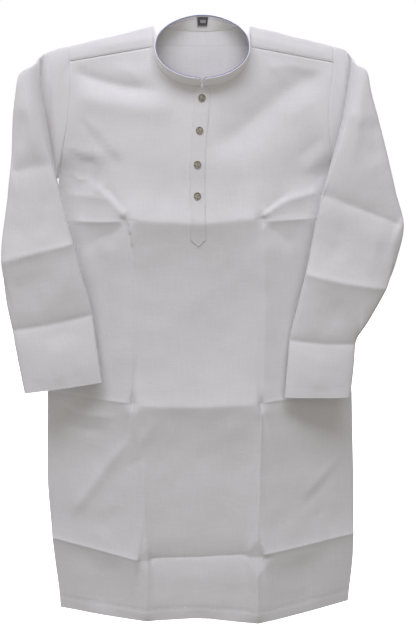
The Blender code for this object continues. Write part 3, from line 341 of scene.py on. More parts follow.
# Pressed and soft folds of the hanging sleeves, in the front view like the body's.
SLEEVE_CREASES_LEFT = [
    Crease([(-0.330, -0.182), (-0.290, -0.172), (-0.235, -0.160)], -0.0050, 0.020, 0.026, 0.0020, 0.010),
    Crease([(-0.356, -0.340), (-0.290, -0.322), (-0.215, -0.304)], 0.0090, 0.036, 0.040, 0.0012, 0.004),
    Crease([(-0.342, -0.464), (-0.270, -0.452), (-0.185, -0.433)], -0.0080, 0.034, 0.036, 0.0012, 0.004),
    Crease([(-0.282, -0.020), (-0.262, -0.080), (-0.256, -0.140)], -0.0036, 0.010, 0.012, 0.004, 0.040),
    Crease([(-0.296, -0.030), (-0.290, -0.110), (-0.284, -0.170)], 0.0032, 0.010, 0.010, 0.004, 0.050),
    Crease([(-0.306, -0.070), (-0.312, -0.150)], -0.0026, 0.010, 0.012, 0.004, 0.030),
    Crease([(-0.268, -0.200), (-0.276, -0.300)], -0.0026, 0.014, 0.016, 0.006, 0.040),
    Crease([(-0.312, -0.210), (-0.322, -0.310)], -0.0022, 0.012, 0.014, 0.006, 0.035),
    Crease([(-0.300, -0.350), (-0.286, -0.430)], -0.0024, 0.014, 0.014, 0.006, 0.030),
    Crease([(-0.240, -0.330), (-0.232, -0.410)], 0.0020, 0.012, 0.012, 0.004, 0.030),
    Crease([(-0.262, -0.470), (-0.250, -0.560)], 0.0024, 0.014, 0.014, 0.006, 0.030),
]
SLEEVE_CREASES_RIGHT = [
    Crease([(0.208, -0.218), (0.280, -0.246), (0.350, -0.274)], -0.0056, 0.024, 0.028, 0.0020, 0.010),
    Crease([(0.178, -0.358), (0.250, -0.374), (0.332, -0.387)], 0.0088, 0.034, 0.038, 0.0012, 0.004),
    Crease([(0.154, -0.480), (0.220, -0.486), (0.284, -0.487)], -0.0076, 0.032, 0.034, 0.0012, 0.004),
    Crease([(0.246, -0.078), (0.264, -0.084), (0.284, -0.098)], 0.0024, 0.008, 0.010, 0.003, 0.014),
    Crease([(0.262, -0.020), (0.242, -0.080), (0.230, -0.140)], -0.0034, 0.010, 0.012, 0.004, 0.040),
    Crease([(0.276, -0.030), (0.270, -0.110), (0.262, -0.170)], 0.0030, 0.010, 0.010, 0.004, 0.050),
    Crease([(0.292, -0.080), (0.310, -0.170)], -0.0026, 0.010, 0.012, 0.004, 0.030),
    Crease([(0.250, -0.250), (0.236, -0.350)], -0.0026, 0.014, 0.016, 0.006, 0.040),
    Crease([(0.312, -0.270), (0.296, -0.370)], 0.0022, 0.012, 0.014, 0.006, 0.035),
    Crease([(0.246, -0.396), (0.228, -0.470)], -0.0022, 0.014, 0.014, 0.006, 0.030),
    Crease([(0.214, -0.496), (0.208, -0.570)], 0.0024, 0.014, 0.014, 0.006, 0.030),
]


# Curves of the cloth
def mix(a, b, share):
    return a + (b - a) * share


def ease(t):
    t = np.clip(t, 0.0, 1.0)
    return t * t * (3 - 2 * t)


def smooth_at(keys, values, at):
    """Smooth curve through the values at rising keys that never swings past them, level beyond both ends."""
    keys = np.asarray(keys, float)
    values = np.asarray(values, float)
    at = np.clip(at, keys[0], keys[-1])
    step = np.diff(values) / np.diff(keys)
    slope = np.zeros(len(keys))
    product = step[:-1] * step[1:]
    total = np.where(product > 0, step[:-1] + step[1:], 1.0)
    slope[1:-1] = np.where(product > 0, 2 * product / total, 0.0)
    i = np.clip(np.searchsorted(keys, at, side="right") - 1, 0, len(keys) - 2)
    span = keys[i + 1] - keys[i]
    t = (at - keys[i]) / span
    start = values[i] * (1 + 2 * t) + slope[i] * span * t
    end = values[i + 1] * (3 - 2 * t) - slope[i + 1] * span * (1 - t)
    return start * (1 - t) ** 2 + end * t**2


DROP = [-row.height for row in BODY]


def body(field, z):
    """One column of the body table, read at any height."""
    return smooth_at(DROP, [getattr(row, field) for row in BODY], -np.asarray(z, float))


def line_z(line, x):
    """Height of a crease line at x."""
    return np.interp(x, [point[0] for point in line], [point[1] for point in line])


def crease_field(creases, x, z):
    """How far the creases bring the cloth forward at each place."""
    total = np.zeros(np.broadcast(x, z).shape)
    for crease in creases:
        ends = np.array(crease.path)
        runs = np.diff(ends, axis=0)
        sizes = np.hypot(runs[:, 0], runs[:, 1])
        starts = np.concatenate([[0.0], np.cumsum(sizes)])
        best = np.full(total.shape, np.inf)
        side = np.zeros(total.shape)
        along = np.zeros(total.shape)
        for (x0, z0), (rx, rz), size, begun in zip(ends, runs, sizes, starts):
            t = np.clip(((x - x0) * rx + (z - z0) * rz) / size**2, 0.0, 1.0)
            dx, dz = x - x0 - t * rx, z - z0 - t * rz
            away = np.hypot(dx, dz)
            closer = away < best
            best = np.where(closer, away, best)
            side = np.where(closer, rx * dz - rz * dx, side)
            along = np.where(closer, begun + t * size, along)
        width = np.where(side > 0, crease.over, crease.under)
        crest = np.exp(-(np.hypot(best, crease.round) - crease.round) / width)
        from_end = np.minimum(along, starts[-1] - along)
        total += crease.height * crest * ease(0.15 + 0.85 * from_end / crease.fade)
    return total


def diamond_field(x, z):
    """The small diamond dents where pressed folds cross."""
    total = np.zeros(np.broadcast(x, z).shape)
    for (cx, cz), reach, depth in DIAMONDS:
        across, down = np.abs(x - cx), np.abs(z - cz)
        inside = np.clip(1 - (across / (0.8 * reach) + down / reach), 0.0, 1.0)
        total -= depth * inside
    return total


def ripple(x, z, size, seed):
    """Soft uneven swells, the same on each run."""
    spots = zip(np.ravel(x), np.ravel(z))
    swell = [noise.noise(Vector((a / size, b / size, seed))) for a, b in spots]
    return np.reshape(swell, np.shape(x))


def share_across(x, z):
    """0 at the centre line, FOLD_SHARE at the long pressed fold, 1 at the side edge."""
    centre = body("centre", z)
    offset = x - centre
    fold = np.where(offset > 0, body("fold_right", z), body("fold_left", z))
    half = np.where(offset > 0, body("right", z) - centre, body("left", z) + centre)
    near = np.abs(offset)
    outer = FOLD_SHARE + (1 - FOLD_SHARE) * (near - fold) / (half - fold)
    return np.where(near < fold, FOLD_SHARE * near / fold, np.minimum(outer, 1.0))


def layer_y(layer, x, z):
    """Depth of the front or back layer at each place in the front view, with its creases."""
    share = share_across(x, z)
    flat = np.maximum((share - FOLD_SHARE) / (1 - FOLD_SHARE), 0.0) ** 1.15
    edge = mix(share**2.5, flat, body("panels", z))
    sign, depth, own = (-1, "front", FRONT_CREASES) if layer == "front" else (1, "back", BACK_CREASES)
    inside = ease((1 - edge) * 3)
    forward = crease_field(PRESSED, x, z) + crease_field(PRESSED_EDGES, x, z) + diamond_field(x, z)
    forward += crease_field(own, x, z) * inside
    seed = 3.0 if layer == "front" else 11.0
    forward += inside * (0.0030 * ripple(x, z, 0.105, seed) + 0.0010 * ripple(x, z, 0.038, seed + 5))
    return body("seam_y", z) + sign * mix(body(depth, z), body("open", z), edge) - forward


def neckline_z(x):
    """Height of the front neckline's edge."""
    share = np.minimum(np.abs(x - NECK_CENTRE) / NECK_HALF_WIDTH, 1.0)
    return NECK_SEAM_Z - NECK_DROP * (1 - share**NECK_ROUNDNESS) ** (1 / NECK_ROUNDNESS)


def seam_dip(distance):
    """How far the stitches of a seam pull the cloth in, at a distance from it."""
    return SEAM_DIP * np.exp(-((np.asarray(distance, float) / SEAM_REACH) ** 2))


def armhole_grip(z):
    """1 down the armhole, fading out towards the armpit."""
    return ease((np.asarray(z, float) - ARMPIT_Z - 0.012) / 0.030)


@lru_cache(None)
def shoulder_line(side, layer):
    """Ends of the yoke's straight front or back seam, at the neck and at the armhole."""
    shoulder = SHOULDERS[side]
    height = shoulder.front_seam if layer == "front" else shoulder.back_seam
    neck_z = NECK_SEAM_Z if layer == "front" else YOKE_BACK_Z
    half = side * float(body("right" if side > 0 else "left", height))
    inner = NECK_CENTRE + side * NECK_HALF_WIDTH
    ends = []
    for x, z in ((inner, neck_z), (half, height)):
        ends.append(np.array([x, float(layer_y(layer, np.array([x]), np.array([z]))[0]), z]))
    return ends


# Making sheets
def grid_piece(name, points, pattern, flip=False):
    """A sheet of cloth from rows of points, top row first, with its pattern's map in metres."""
    rows, columns = points.shape[:2]
    bpy.ops.object.select_all(action="DESELECT")
    bpy.ops.mesh.primitive_grid_add(x_subdivisions=columns - 1, y_subdivisions=rows - 1, size=2)
    piece = bpy.context.object
    piece.name = name
    mesh = piece.data
    mesh.name = name
    mesh.vertices.foreach_set("co", points[::-1].astype(np.float32).ravel())
    corners = np.empty(len(mesh.loops), np.int32)
    mesh.loops.foreach_get("vertex_index", corners)
    flat = pattern[::-1].reshape(-1, 2)[corners]
    mesh.uv_layers.active.data.foreach_set("uv", flat.astype(np.float32).ravel())
    if flip:
        mesh.flip_normals()
    mesh.update()
    return piece


def edit_faces(piece, chosen, *steps):
    """Selects some of a piece's faces and works on them in edit mode."""
    bpy.ops.object.select_all(action="DESELECT")
    piece.select_set(True)
    bpy.context.view_layer.objects.active = piece
    bpy.context.tool_settings.mesh_select_mode = (False, False, True)
    bpy.ops.object.mode_set(mode="EDIT")
    bpy.ops.mesh.select_all(action="DESELECT")
    bpy.ops.object.mode_set(mode="OBJECT")
    for face in piece.data.polygons:
        face.select = chosen(face)
    bpy.ops.object.mode_set(mode="EDIT")
    for step in steps:
        step()
    bpy.ops.object.mode_set(mode="OBJECT")


def cut_slit(piece, columns, end_z):
    """Removes the middle column of a grid's faces down to a height."""
    middle, width = columns // 2 - 1, columns - 1
    edit_faces(
        piece,
        lambda face: face.index % width == middle and face.center.z > end_z,
        lambda: bpy.ops.mesh.delete(type="FACE"),
    )


def merge_points(piece, reach=1e-5):
    """Joins the points of a piece that lie on each other."""
    edit_faces(piece, lambda face: True, lambda: bpy.ops.mesh.remove_doubles(threshold=reach))


def apply_all(piece):
    """Applies every modifier in order."""
    bpy.ops.object.select_all(action="DESELECT")
    piece.select_set(True)
    bpy.context.view_layer.objects.active = piece
    for modifier in list(piece.modifiers):
        bpy.ops.object.modifier_apply(modifier=modifier.name)


def give_wall(piece, wall, offset=0.0, round_edge=0.0):
    """The cloth's thickness, with a soft edge where asked."""
    modifier = piece.modifiers.new("wall", "SOLIDIFY")
    modifier.thickness = wall
    modifier.offset = offset
    modifier.use_even_offset = False
    if round_edge:
        bevel = piece.modifiers.new("soft_edge", "BEVEL")
        bevel.width = round_edge
        bevel.segments = 2
        bevel.limit_method = "ANGLE"
        bevel.angle_limit = math.radians(60)
    apply_all(piece)
    bpy.ops.object.shade_smooth_by_angle(angle=math.radians(60))


def finish(piece, material, slot_name, *nodes):
    """Material, body and the frame nodes that the piece stands for. slot_name is not used."""
    piece.data.materials.clear()
    piece.data.materials.append(material)
    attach(piece, "root")
    if nodes:
        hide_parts(*nodes)


def normals_of(points):
    """Unit normals of rows of points, towards the side that a front sheet shows."""
    down = np.gradient(points, axis=0)
    right = np.gradient(points, axis=1)
    normal = np.cross(down, right)
    return normal / np.maximum(np.linalg.norm(normal, axis=2, keepdims=True), 1e-12)


def arc_lengths(path):
    return np.concatenate([[0.0], np.cumsum(np.linalg.norm(np.diff(path, axis=0), axis=1))])


# Shading
def new_group(name, inputs, outputs):
    """An empty shader node group with its sockets and its two end nodes."""
    group = bpy.data.node_groups.new(name, "ShaderNodeTree")
    for label, kind, default in inputs:
        made = group.interface.new_socket(label, in_out="INPUT", socket_type=kind)
        if default is not None:
            made.default_value = default
    for label, kind in outputs:
        group.interface.new_socket(label, in_out="OUTPUT", socket_type=kind)
    return group, group.nodes.new("NodeGroupInput"), group.nodes.new("NodeGroupOutput")


def add_node(tree, kind, **sockets):
    """A new shader node, with a value or a link on each named socket."""
    node = tree.nodes.new("ShaderNode" + kind)
    for label, value in sockets.items():
        if isinstance(value, bpy.types.NodeSocket):
            tree.links.new(value, node.inputs[label])
        else:
            node.inputs[label].default_value = value
    return node


def math_node(tree, operation, a, b=None):
    node = tree.nodes.new("ShaderNodeMath")
    node.operation = operation
    for socket, value in zip(node.inputs, (a, b)):
        if isinstance(value, (int, float)):
            socket.default_value = value
        elif value is not None:
            tree.links.new(value, socket)
    return node.outputs[0]


def plain_weave_group():
    """Threads over and under each other, some of them thicker, as a height and a tone."""
    group, start, end = new_group(
        "plain_weave",
        [("Vector", "NodeSocketVector", None), ("Threads", "NodeSocketFloat", 2000.0)],
        [("Height", "NodeSocketFloat"), ("Tone", "NodeSocketFloat")],
    )
    where = start.outputs["Vector"]
    split = group.nodes.new("ShaderNodeSeparateXYZ")
    group.links.new(where, split.inputs[0])
    turn = math_node(group, "MULTIPLY", start.outputs["Threads"], math.pi)
    across = math_node(group, "SINE", math_node(group, "MULTIPLY", split.outputs["X"], turn))
    down = math_node(group, "SINE", math_node(group, "MULTIPLY", split.outputs["Y"], turn))
    over = math_node(group, "MULTIPLY", across, down)
    slubs = []
    for scale in ((26.0, 520.0, 1.0), (520.0, 20.0, 1.0)):
        stretch = add_node(group, "Mapping", Vector=where, Scale=scale)
        grain = add_node(group, "TexNoise", Vector=stretch.outputs[0], Scale=1.0, Detail=2.0)
        slubs.append(grain.outputs["Fac"])
    slub = math_node(group, "MULTIPLY", math_node(group, "ADD", slubs[0], slubs[1]), 0.5)
    height = math_node(group, "ADD", math_node(group, "MULTIPLY", over, 0.25), slub)
    group.links.new(height, end.inputs["Height"])
    group.links.new(slub, end.inputs["Tone"])
    return group


def crumple_group():
    """Small soft wrinkles that washing leaves, as a height."""
    group, start, end = new_group(
        "crumple",
        [("Vector", "NodeSocketVector", None), ("Size", "NodeSocketFloat", 40.0)],
        [("Height", "NodeSocketFloat")],
    )
    ridges = []
    for share, factor in ((1.0, 1.0), (0.45, 2.7)):
        grain = add_node(
            group, "TexNoise", Vector=start.outputs["Vector"],
            Scale=math_node(group, "MULTIPLY", start.outputs["Size"], factor),
            Detail=3.0, Roughness=0.45, Distortion=0.6,
        )
        ridge = math_node(group, "ABSOLUTE", math_node(group, "SUBTRACT", grain.outputs["Fac"], 0.5))
        ridges.append(math_node(group, "MULTIPLY", ridge, share))
    group.links.new(math_node(group, "ADD", *ridges), end.inputs["Height"])
    return group


PLAIN_WEAVE = plain_weave_group()
CRUMPLE = crumple_group()


def new_material(name, roughness):
    """A material with its shader and output, and the node tree to add to."""
    material = bpy.data.materials.new(name)
    material.use_nodes = True
    shader = material.node_tree.nodes["Principled BSDF"]
    shader.inputs["Roughness"].default_value = roughness
    return material, material.node_tree, shader


def tint(tree, mask, dark, light):
    """A colour between two, by a mask that changes over the surface."""
    blend = tree.nodes.new("ShaderNodeMix")
    blend.data_type = "RGBA"
    tree.links.new(mask, blend.inputs["Factor"])
    blend.inputs["A"].default_value = (*dark, 1.0)
    blend.inputs["B"].default_value = (*light, 1.0)
    return blend.outputs["Result"]


def placed_group(tree, group, where, label, value):
    """A node group placed in a material, read at the cloth's own map, with one of its values."""
    node = tree.nodes.new("ShaderNodeGroup")
    node.node_tree = group
    node.inputs[label].default_value = value
    tree.links.new(where, node.inputs["Vector"])
    return node


def cotton(name, dark, light, crumple_size=42.0, crumple_depth=0.0007, threads=2200.0):
    """Washed cotton: plain weave with slubs, soft wrinkles and a faint sheen."""
    material, tree, shader = new_material(name, 0.88)
    shader.inputs["Sheen Weight"].default_value = 0.18
    shader.inputs["Sheen Roughness"].default_value = 0.45
    shader.inputs["Specular IOR Level"].default_value = 0.25
    where = tree.nodes.new("ShaderNodeUVMap").outputs["UV"]
    weave = placed_group(tree, PLAIN_WEAVE, where, "Threads", threads)
    crumple = placed_group(tree, CRUMPLE, where, "Size", crumple_size)
    tree.links.new(tint(tree, weave.outputs["Tone"], dark, light), shader.inputs["Base Color"])
    soft = add_node(tree, "Bump", Strength=0.7, Distance=crumple_depth, Height=crumple.outputs["Height"])
    fine = add_node(
        tree, "Bump", Strength=0.35, Distance=0.00012,
        Height=weave.outputs["Height"], Normal=soft.outputs["Normal"],
    )
    tree.links.new(fine.outputs["Normal"], shader.inputs["Normal"])
    return material


WHITE_COTTON = cotton("white_cotton", (0.690, 0.679, 0.679), (0.835, 0.825, 0.830))
# The back's colour is painted paler than the front's cotton: painted light standing in for the light that
# comes through its single layer.
PAINTED_BACKLIGHT_COTTON = cotton("painted_backlight_cotton", (0.755, 0.743, 0.750), (0.890, 0.878, 0.890))
# The collar's colour is painted much paler than the rest of the cloth: painted light that lifts the shade on
# the collar band.
PAINTED_LIGHT_COLLAR_COTTON = cotton("collar_cotton", (0.900, 0.885, 0.875), (0.960, 0.948, 0.940), 60.0, 0.0003)
BAND_COTTON = cotton("band_cotton", (0.655, 0.643, 0.640), (0.835, 0.822, 0.822), 60.0, 0.0003)


def thread_material(name, dark, light):
    """Twisted sewing thread with a soft lustre."""
    material, tree, shader = new_material(name, 0.55)
    shader.inputs["Sheen Weight"].default_value = 0.15
    where = tree.nodes.new("ShaderNodeTexCoord").outputs["Object"]
    twist = add_node(tree, "TexNoise", Vector=where, Scale=2600.0, Detail=1.0).outputs["Fac"]
    tree.links.new(tint(tree, twist, dark, light), shader.inputs["Base Color"])
    bump = add_node(tree, "Bump", Strength=0.4, Distance=0.00008, Height=twist)
    tree.links.new(bump.outputs["Normal"], shader.inputs["Normal"])
    return material


WHITE_THREAD = thread_material("white_thread", (0.60, 0.60, 0.61), (0.80, 0.80, 0.81))
BLUE_THREAD = thread_material("blue_thread", (0.15, 0.18, 0.40), (0.27, 0.31, 0.56))


# Front and back panels
NECK_COLUMNS = 18
NECK_FIRST = 0.22
SIDE_COLUMNS = 42


def panel_columns():
    """Columns from the left edge to the right edge as (side, zone, value)."""
    offsets = [("offset", value) for value in (SLIT_HALF, 0.0060, 0.0100, PLACKET_HALF)]
    neck_turns = [math.pi / 2 * k / NECK_COLUMNS for k in range(1, NECK_COLUMNS + 1)]
    neck = [("neck", mix(NECK_FIRST, 1.0, math.sin(turn))) for turn in neck_turns]
    side_turns = [math.pi * k / SIDE_COLUMNS for k in range(1, SIDE_COLUMNS + 1)]
    sides = [("side", 0.5 - 0.5 * math.cos(turn)) for turn in side_turns]
    half = offsets + neck + sides
    return [(-1, *column) for column in reversed(half)] + [(1, *column) for column in half]


def column_x(column, z):
    side, zone, value = column
    centre = body("centre", z)
    fold = body("fold_right" if side > 0 else "fold_left", z)
    half = body("right" if side > 0 else "left", z)
    if zone == "offset":
        return centre + side * value
    if zone == "neck":
        return centre + side * value * fold
    return mix(centre + side * fold, side * half, value)


def hem_z(column):
    side, zone, value = column
    name = "right" if side > 0 else "left"
    if zone == "side":
        return mix(HEM["fold_" + name], HEM[name], value)
    return mix(HEM["centre"], HEM["fold_" + name], value if zone == "neck" else 0.1)


def panel_start(layer, column):
    """Where a column of the front or back starts: on the neckline or on the yoke's seam."""
    side, zone, value = column
    if zone == "side":
        neck, arm = shoulder_line(side, layer)
        return mix(neck, arm, value)
    x = NECK_CENTRE + side * value * NECK_HALF_WIDTH
    if zone == "offset":
        x = float(body("centre", float(neckline_z(0.0)))) + side * value
    z = float(neckline_z(x)) if layer == "front" else YOKE_BACK_Z
    return np.array([x, float(layer_y(layer, np.array([x]), np.array([z]))[0]), z])


TOP_ROWS = 25
ROW_COUNTS = [26, 34, 76, 70, 44]
FOLDS_ACROSS = ((CHEST_LINE, -0.268), (HIP_LINE, -0.597), (KNEE_LINE, -0.882))
CROWDING = 0.12


def crowded(count):
    """Shares of a stretch of rows that lie closer together at both of its ends."""
    t = np.arange(1, count + 1) / count
    return t - CROWDING * np.sin(2 * math.pi * t)


def panel_points(layer, columns):
    """The panel's grid of points, its rows along the crease lines."""
    starts = np.array([panel_start(layer, column) for column in columns])
    lift = BACK_HEM_LIFT if layer == "back" else 0.0
    key_lines = []
    for column in columns:
        at = [YOKE_MEETS_Z, ARMPIT_Z]
        for line, height in FOLDS_ACROSS:
            at.append(float(line_z(line, float(column_x(column, height)))))
        key_lines.append(at + [hem_z(column) + lift])
    key_lines = np.array(key_lines).T
    top = np.linspace(0.0, 1.0, TOP_ROWS) ** 1.5
    heights = [mix(starts[:, 2], key_lines[0], share) for share in top]
    for low, count in enumerate(ROW_COUNTS):
        heights += [mix(key_lines[low], key_lines[low + 1], share) for share in crowded(count)]
    z = np.array(heights)
    x = np.array([column_x(column, z[:, i]) for i, column in enumerate(columns)]).T
    fade = np.zeros(len(z))
    fade[: len(top)] = 1 - top
    x = mix(x, starts[None, :, 0], fade[:, None])
    if layer == "back":
        shares = np.array([side * value if zone == "side" else 0.0 for side, zone, value in columns])
        down_side = ease((ARMPIT_Z - z) / 0.10) * ease((VENT_TOP + 0.02 - z) / 0.04)
        x = x - BACK_INSET * shares[None, :] * down_side
    y = layer_y(layer, x, z)
    own = layer_y(layer, starts[:, 0], starts[:, 2])
    y = y + fade[:, None] * (starts[:, 1] - own)[None, :]
    inward = 1 if layer == "front" else -1
    on_yoke = np.array([ease(value / 0.06) if zone == "side" else 0.0 for _, zone, value in columns])
    edge_x = np.where(np.array([side for side, _, _ in columns]) > 0, x[:, -1:], x[:, :1])
    dip = seam_dip(np.abs(x - edge_x)) * armhole_grip(z)
    below_yoke = starts[None, :, 2] - z
    dip = dip + on_yoke[None, :] * (seam_dip(below_yoke) + UNDER_SEAM * (below_yoke < SEAM_REACH))
    dip = dip + HEM_DIP * np.exp(-(((z - z[-1:] - HEM_TURN) / 0.0030) ** 2))
    z[0] += SEAM_TUCK * on_yoke
    return np.dstack([x, y + inward * dip, z])


def pattern_of(points):
    """The cloth's own map: metres across along a middle row, metres down along a middle column."""
    rows, columns = points.shape[:2]
    across = arc_lengths(points[rows * 2 // 3])
    down = arc_lengths(points[:, columns // 3])
    grid = np.empty((rows, columns, 2))
    grid[:, :, 0] = across[None, :]
    grid[:, :, 1] = -down[:, None]
    return grid


PANEL_COLUMNS = panel_columns()
front_points = panel_points("front", PANEL_COLUMNS)
front = grid_piece("front", front_points, pattern_of(front_points))
cut_slit(front, len(PANEL_COLUMNS), SLIT_END)
give_wall(front, CLOTH)
finish(front, WHITE_COTTON, "cotton", "front_panel")

back_points = panel_points("back", PANEL_COLUMNS)
back = grid_piece("back", back_points, pattern_of(back_points), flip=True)
give_wall(back, CLOTH)
finish(back, PAINTED_BACKLIGHT_COTTON, "cotton", "back_panel")


# Yoke
def neck_side(side, index):
    """A point of the neckline from the front seam (0) round to the centre back (9)."""
    spots = np.array(NECK_SIDE)
    spots[0, 1] = shoulder_line(side, "front")[0][1]
    keys = np.arange(len(NECK_SIDE))
    x, y, z = (smooth_at(keys, spots[:, axis], index) for axis in range(3))
    return np.stack([NECK_CENTRE + side * x, y, z], axis=-1)


def yoke_arm(side, row):
    """The yoke's end at the armhole, from its front seam over the shoulder fold to its back seam."""
    _, front_end = shoulder_line(side, "front")
    _, back_end = shoulder_line(side, "back")
    turn = math.pi * row / YOKE_ROWS
    seam = front_end if row <= YOKE_ROWS / 2 else back_end
    height = mix(seam[2], SHOULDERS[side].ridge, math.sin(turn))
    return np.array([seam[0], seam[1] * abs(math.cos(turn)), height])


def yoke_neck(side, row):
    """The yoke's inner end: along the side of the neck, then straight down the back to its seam."""
    if row <= YOKE_NECK_ROWS:
        return neck_side(side, row)
    seam, _ = shoulder_line(side, "back")
    return mix(neck_side(side, YOKE_NECK_ROWS), seam, (row - YOKE_NECK_ROWS) / (YOKE_ROWS - YOKE_NECK_ROWS))


def yoke_end_dip(row):
    """Pull of the seams on the yoke's armhole end, towards the inside of the shoulder."""
    turn = math.pi * row / YOKE_ROWS
    across = 0.4 * (seam_dip(row * YOKE_ROW) - seam_dip((YOKE_ROWS - row) * YOKE_ROW))
    return np.array([0.0, across + SEAM_DIP * math.cos(turn), -SEAM_DIP * math.sin(turn)])


def yoke_half(side):
    """Rows of points of one shoulder, from the armhole to the neck."""
    rows = np.linspace(0.0, YOKE_ROWS, 49)
    shares = 1 - 0.5 * (1 - np.cos(math.pi * np.linspace(0.0, 1.0, 41)))
    ends = [(yoke_neck(side, row), yoke_arm(side, row)) for row in rows]
    points = np.array([[mix(neck, arm, share) for share in shares] for neck, arm in ends])
    away = np.minimum(rows, YOKE_ROWS - rows)[:, None] / 2.0
    middle = (np.sin(math.pi * shares) ** 0.5)[None, :]
    swell = ripple(points[:, :, 0], points[:, :, 2] * 2, 0.060, 21.0 + side)
    points[:, :, 1] -= 0.0022 * swell * ease(away) * middle
    small = ripple(points[:, :, 0], points[:, :, 2], 0.045, 31.0 + side)
    points[:, :, 2] += 0.0016 * small * ease(away) * middle
    off_neck = ease(shares / 0.06)
    across = 0.4 * (seam_dip(rows * YOKE_ROW) - seam_dip((YOKE_ROWS - rows) * YOKE_ROW))
    points[:, :, 1] += across[:, None] * off_neck[None, :]
    at_arm = seam_dip((1 - shares) * YOKE_LENGTH)[None, :]
    turn = (math.pi * rows / YOKE_ROWS)[:, None]
    points[:, :, 1] += at_arm * np.cos(turn)
    points[:, :, 2] -= at_arm * np.sin(turn)
    return points


def yoke_behind_neck():
    """Rows of points of the piece behind the neck, from its left end to its right end."""
    back_seam = [NECK_HALF_WIDTH] + [NECK_SIDE[k][0] for k in range(YOKE_NECK_ROWS + 1, len(NECK_SIDE))]
    halves = []
    for side in (-1, 1):
        index = np.linspace(YOKE_NECK_ROWS, len(NECK_SIDE) - 1, 33)
        top = neck_side(side, index)
        x = NECK_CENTRE + side * np.interp(index, np.arange(YOKE_NECK_ROWS, len(NECK_SIDE)), back_seam)
        z = np.full(x.shape, YOKE_BACK_Z)
        seam = np.stack([x, layer_y("back", x, z), z], axis=-1)
        halves.append((top, seam))
    (left_top, left_seam), (right_top, right_seam) = halves
    top = np.concatenate([left_top, right_top[-2::-1]])
    seam = np.concatenate([left_seam, right_seam[-2::-1]])
    return np.array([mix(top, seam, share) for share in np.linspace(0.0, 1.0, 19)])


def join_pieces(name, pieces):
    bpy.ops.object.select_all(action="DESELECT")
    for piece in pieces:
        piece.select_set(True)
    bpy.context.view_layer.objects.active = pieces[0]
    bpy.ops.object.join()
    pieces[0].name = name
    pieces[0].data.name = name
    return pieces[0]


yoke_parts = {}
yoke_pieces = []
for side in (-1, 1):
    yoke_parts[side] = yoke_half(side)
    ordered = yoke_parts[side] if side < 0 else yoke_parts[side][:, ::-1]
    # Row 0 is the front seam, below the fold, so the rows are turned over to run from the top.
    yoke_pieces.append(grid_piece("yoke_part", ordered[::-1], pattern_of(ordered[::-1])))
behind_neck = yoke_behind_neck()
yoke_pieces.append(grid_piece("yoke_part", behind_neck, pattern_of(behind_neck), flip=True))
yoke = join_pieces("shoulder_yoke", yoke_pieces)
merge_points(yoke, 1e-4)
give_wall(yoke, CLOTH)
finish(yoke, WHITE_COTTON, "cotton", "yoke")


# Sleeves
def armhole_edge(side, layer, row):
    """A point on a panel's armhole edge, row 0 at the yoke and 8 at the armpit."""
    start = shoulder_line(side, layer)[1]
    stops = [YOKE_MEETS_Z, -0.110, -0.140, -0.170, ARMPIT_Z]
    z = mix(start[2], YOKE_MEETS_Z, row / 4) if row < 4 else float(np.interp(row, range(4, 9), stops))
    fade = max(1 - row / 4, 0.0)
    x = mix(float(column_x((side, "side", 1.0), z)), start[0], fade)
    own = float(layer_y(layer, np.array([start[0]]), np.array([start[2]]))[0])
    y = float(layer_y(layer, np.array([x]), np.array([z]))[0]) + fade * (start[1] - own)
    return np.array([x, y, z])


def armhole_point(side, index):
    """A point of the armhole, from the shoulder fold (0) by the front to the armpit (12) and up the back."""
    if index < 4:
        return yoke_arm(side, 4 - index)
    if index < 12:
        return armhole_edge(side, "front", index - 4)
    if index < 20:
        return armhole_edge(side, "back", 20 - index)
    return yoke_arm(side, 28 - index)


def armhole_dip(side, index):
    """Pull of the armhole seam at a point of the armhole, as a step towards the inside."""
    if index < 4:
        return yoke_end_dip(4 - index)
    if index >= 20:
        return yoke_end_dip(28 - index)
    layer, row = ("front", index - 4) if index < 12 else ("back", 20 - index)
    z = armhole_edge(side, layer, row)[2]
    top = shoulder_line(side, layer)[1][2]
    pull = float(seam_dip(top - z)) + SEAM_DIP * float(armhole_grip(z))
    return np.array([0.0, pull if layer == "front" else -pull, 0.0])


def sleeve_section(side, row, index):
    """A point of a sleeve section: front layer from the outer end to the inner, then the back layer."""
    turn = 2 * math.pi * index / RING_POINTS
    outward = (1 + math.cos(turn)) / 2
    swell = abs(math.sin(turn)) ** SECTION_POWER
    x = mix(row.inner_x, row.outer_x, outward)
    y = mix(row.inner_y, row.outer_y, outward)
    z = mix(row.inner_z, row.outer_z, outward)
    out, depth = (row.front_out, row.front_y) if math.sin(turn) >= 0 else (row.back_out, row.back_y)
    common = (row.front_out + row.back_out) / 2
    kept = mix(1 - outward**3, 1.0, row.held)
    x += common * math.sin(turn) ** 2 + (out - common) * swell * kept
    return np.array([side * x, mix(y, depth, swell), z])


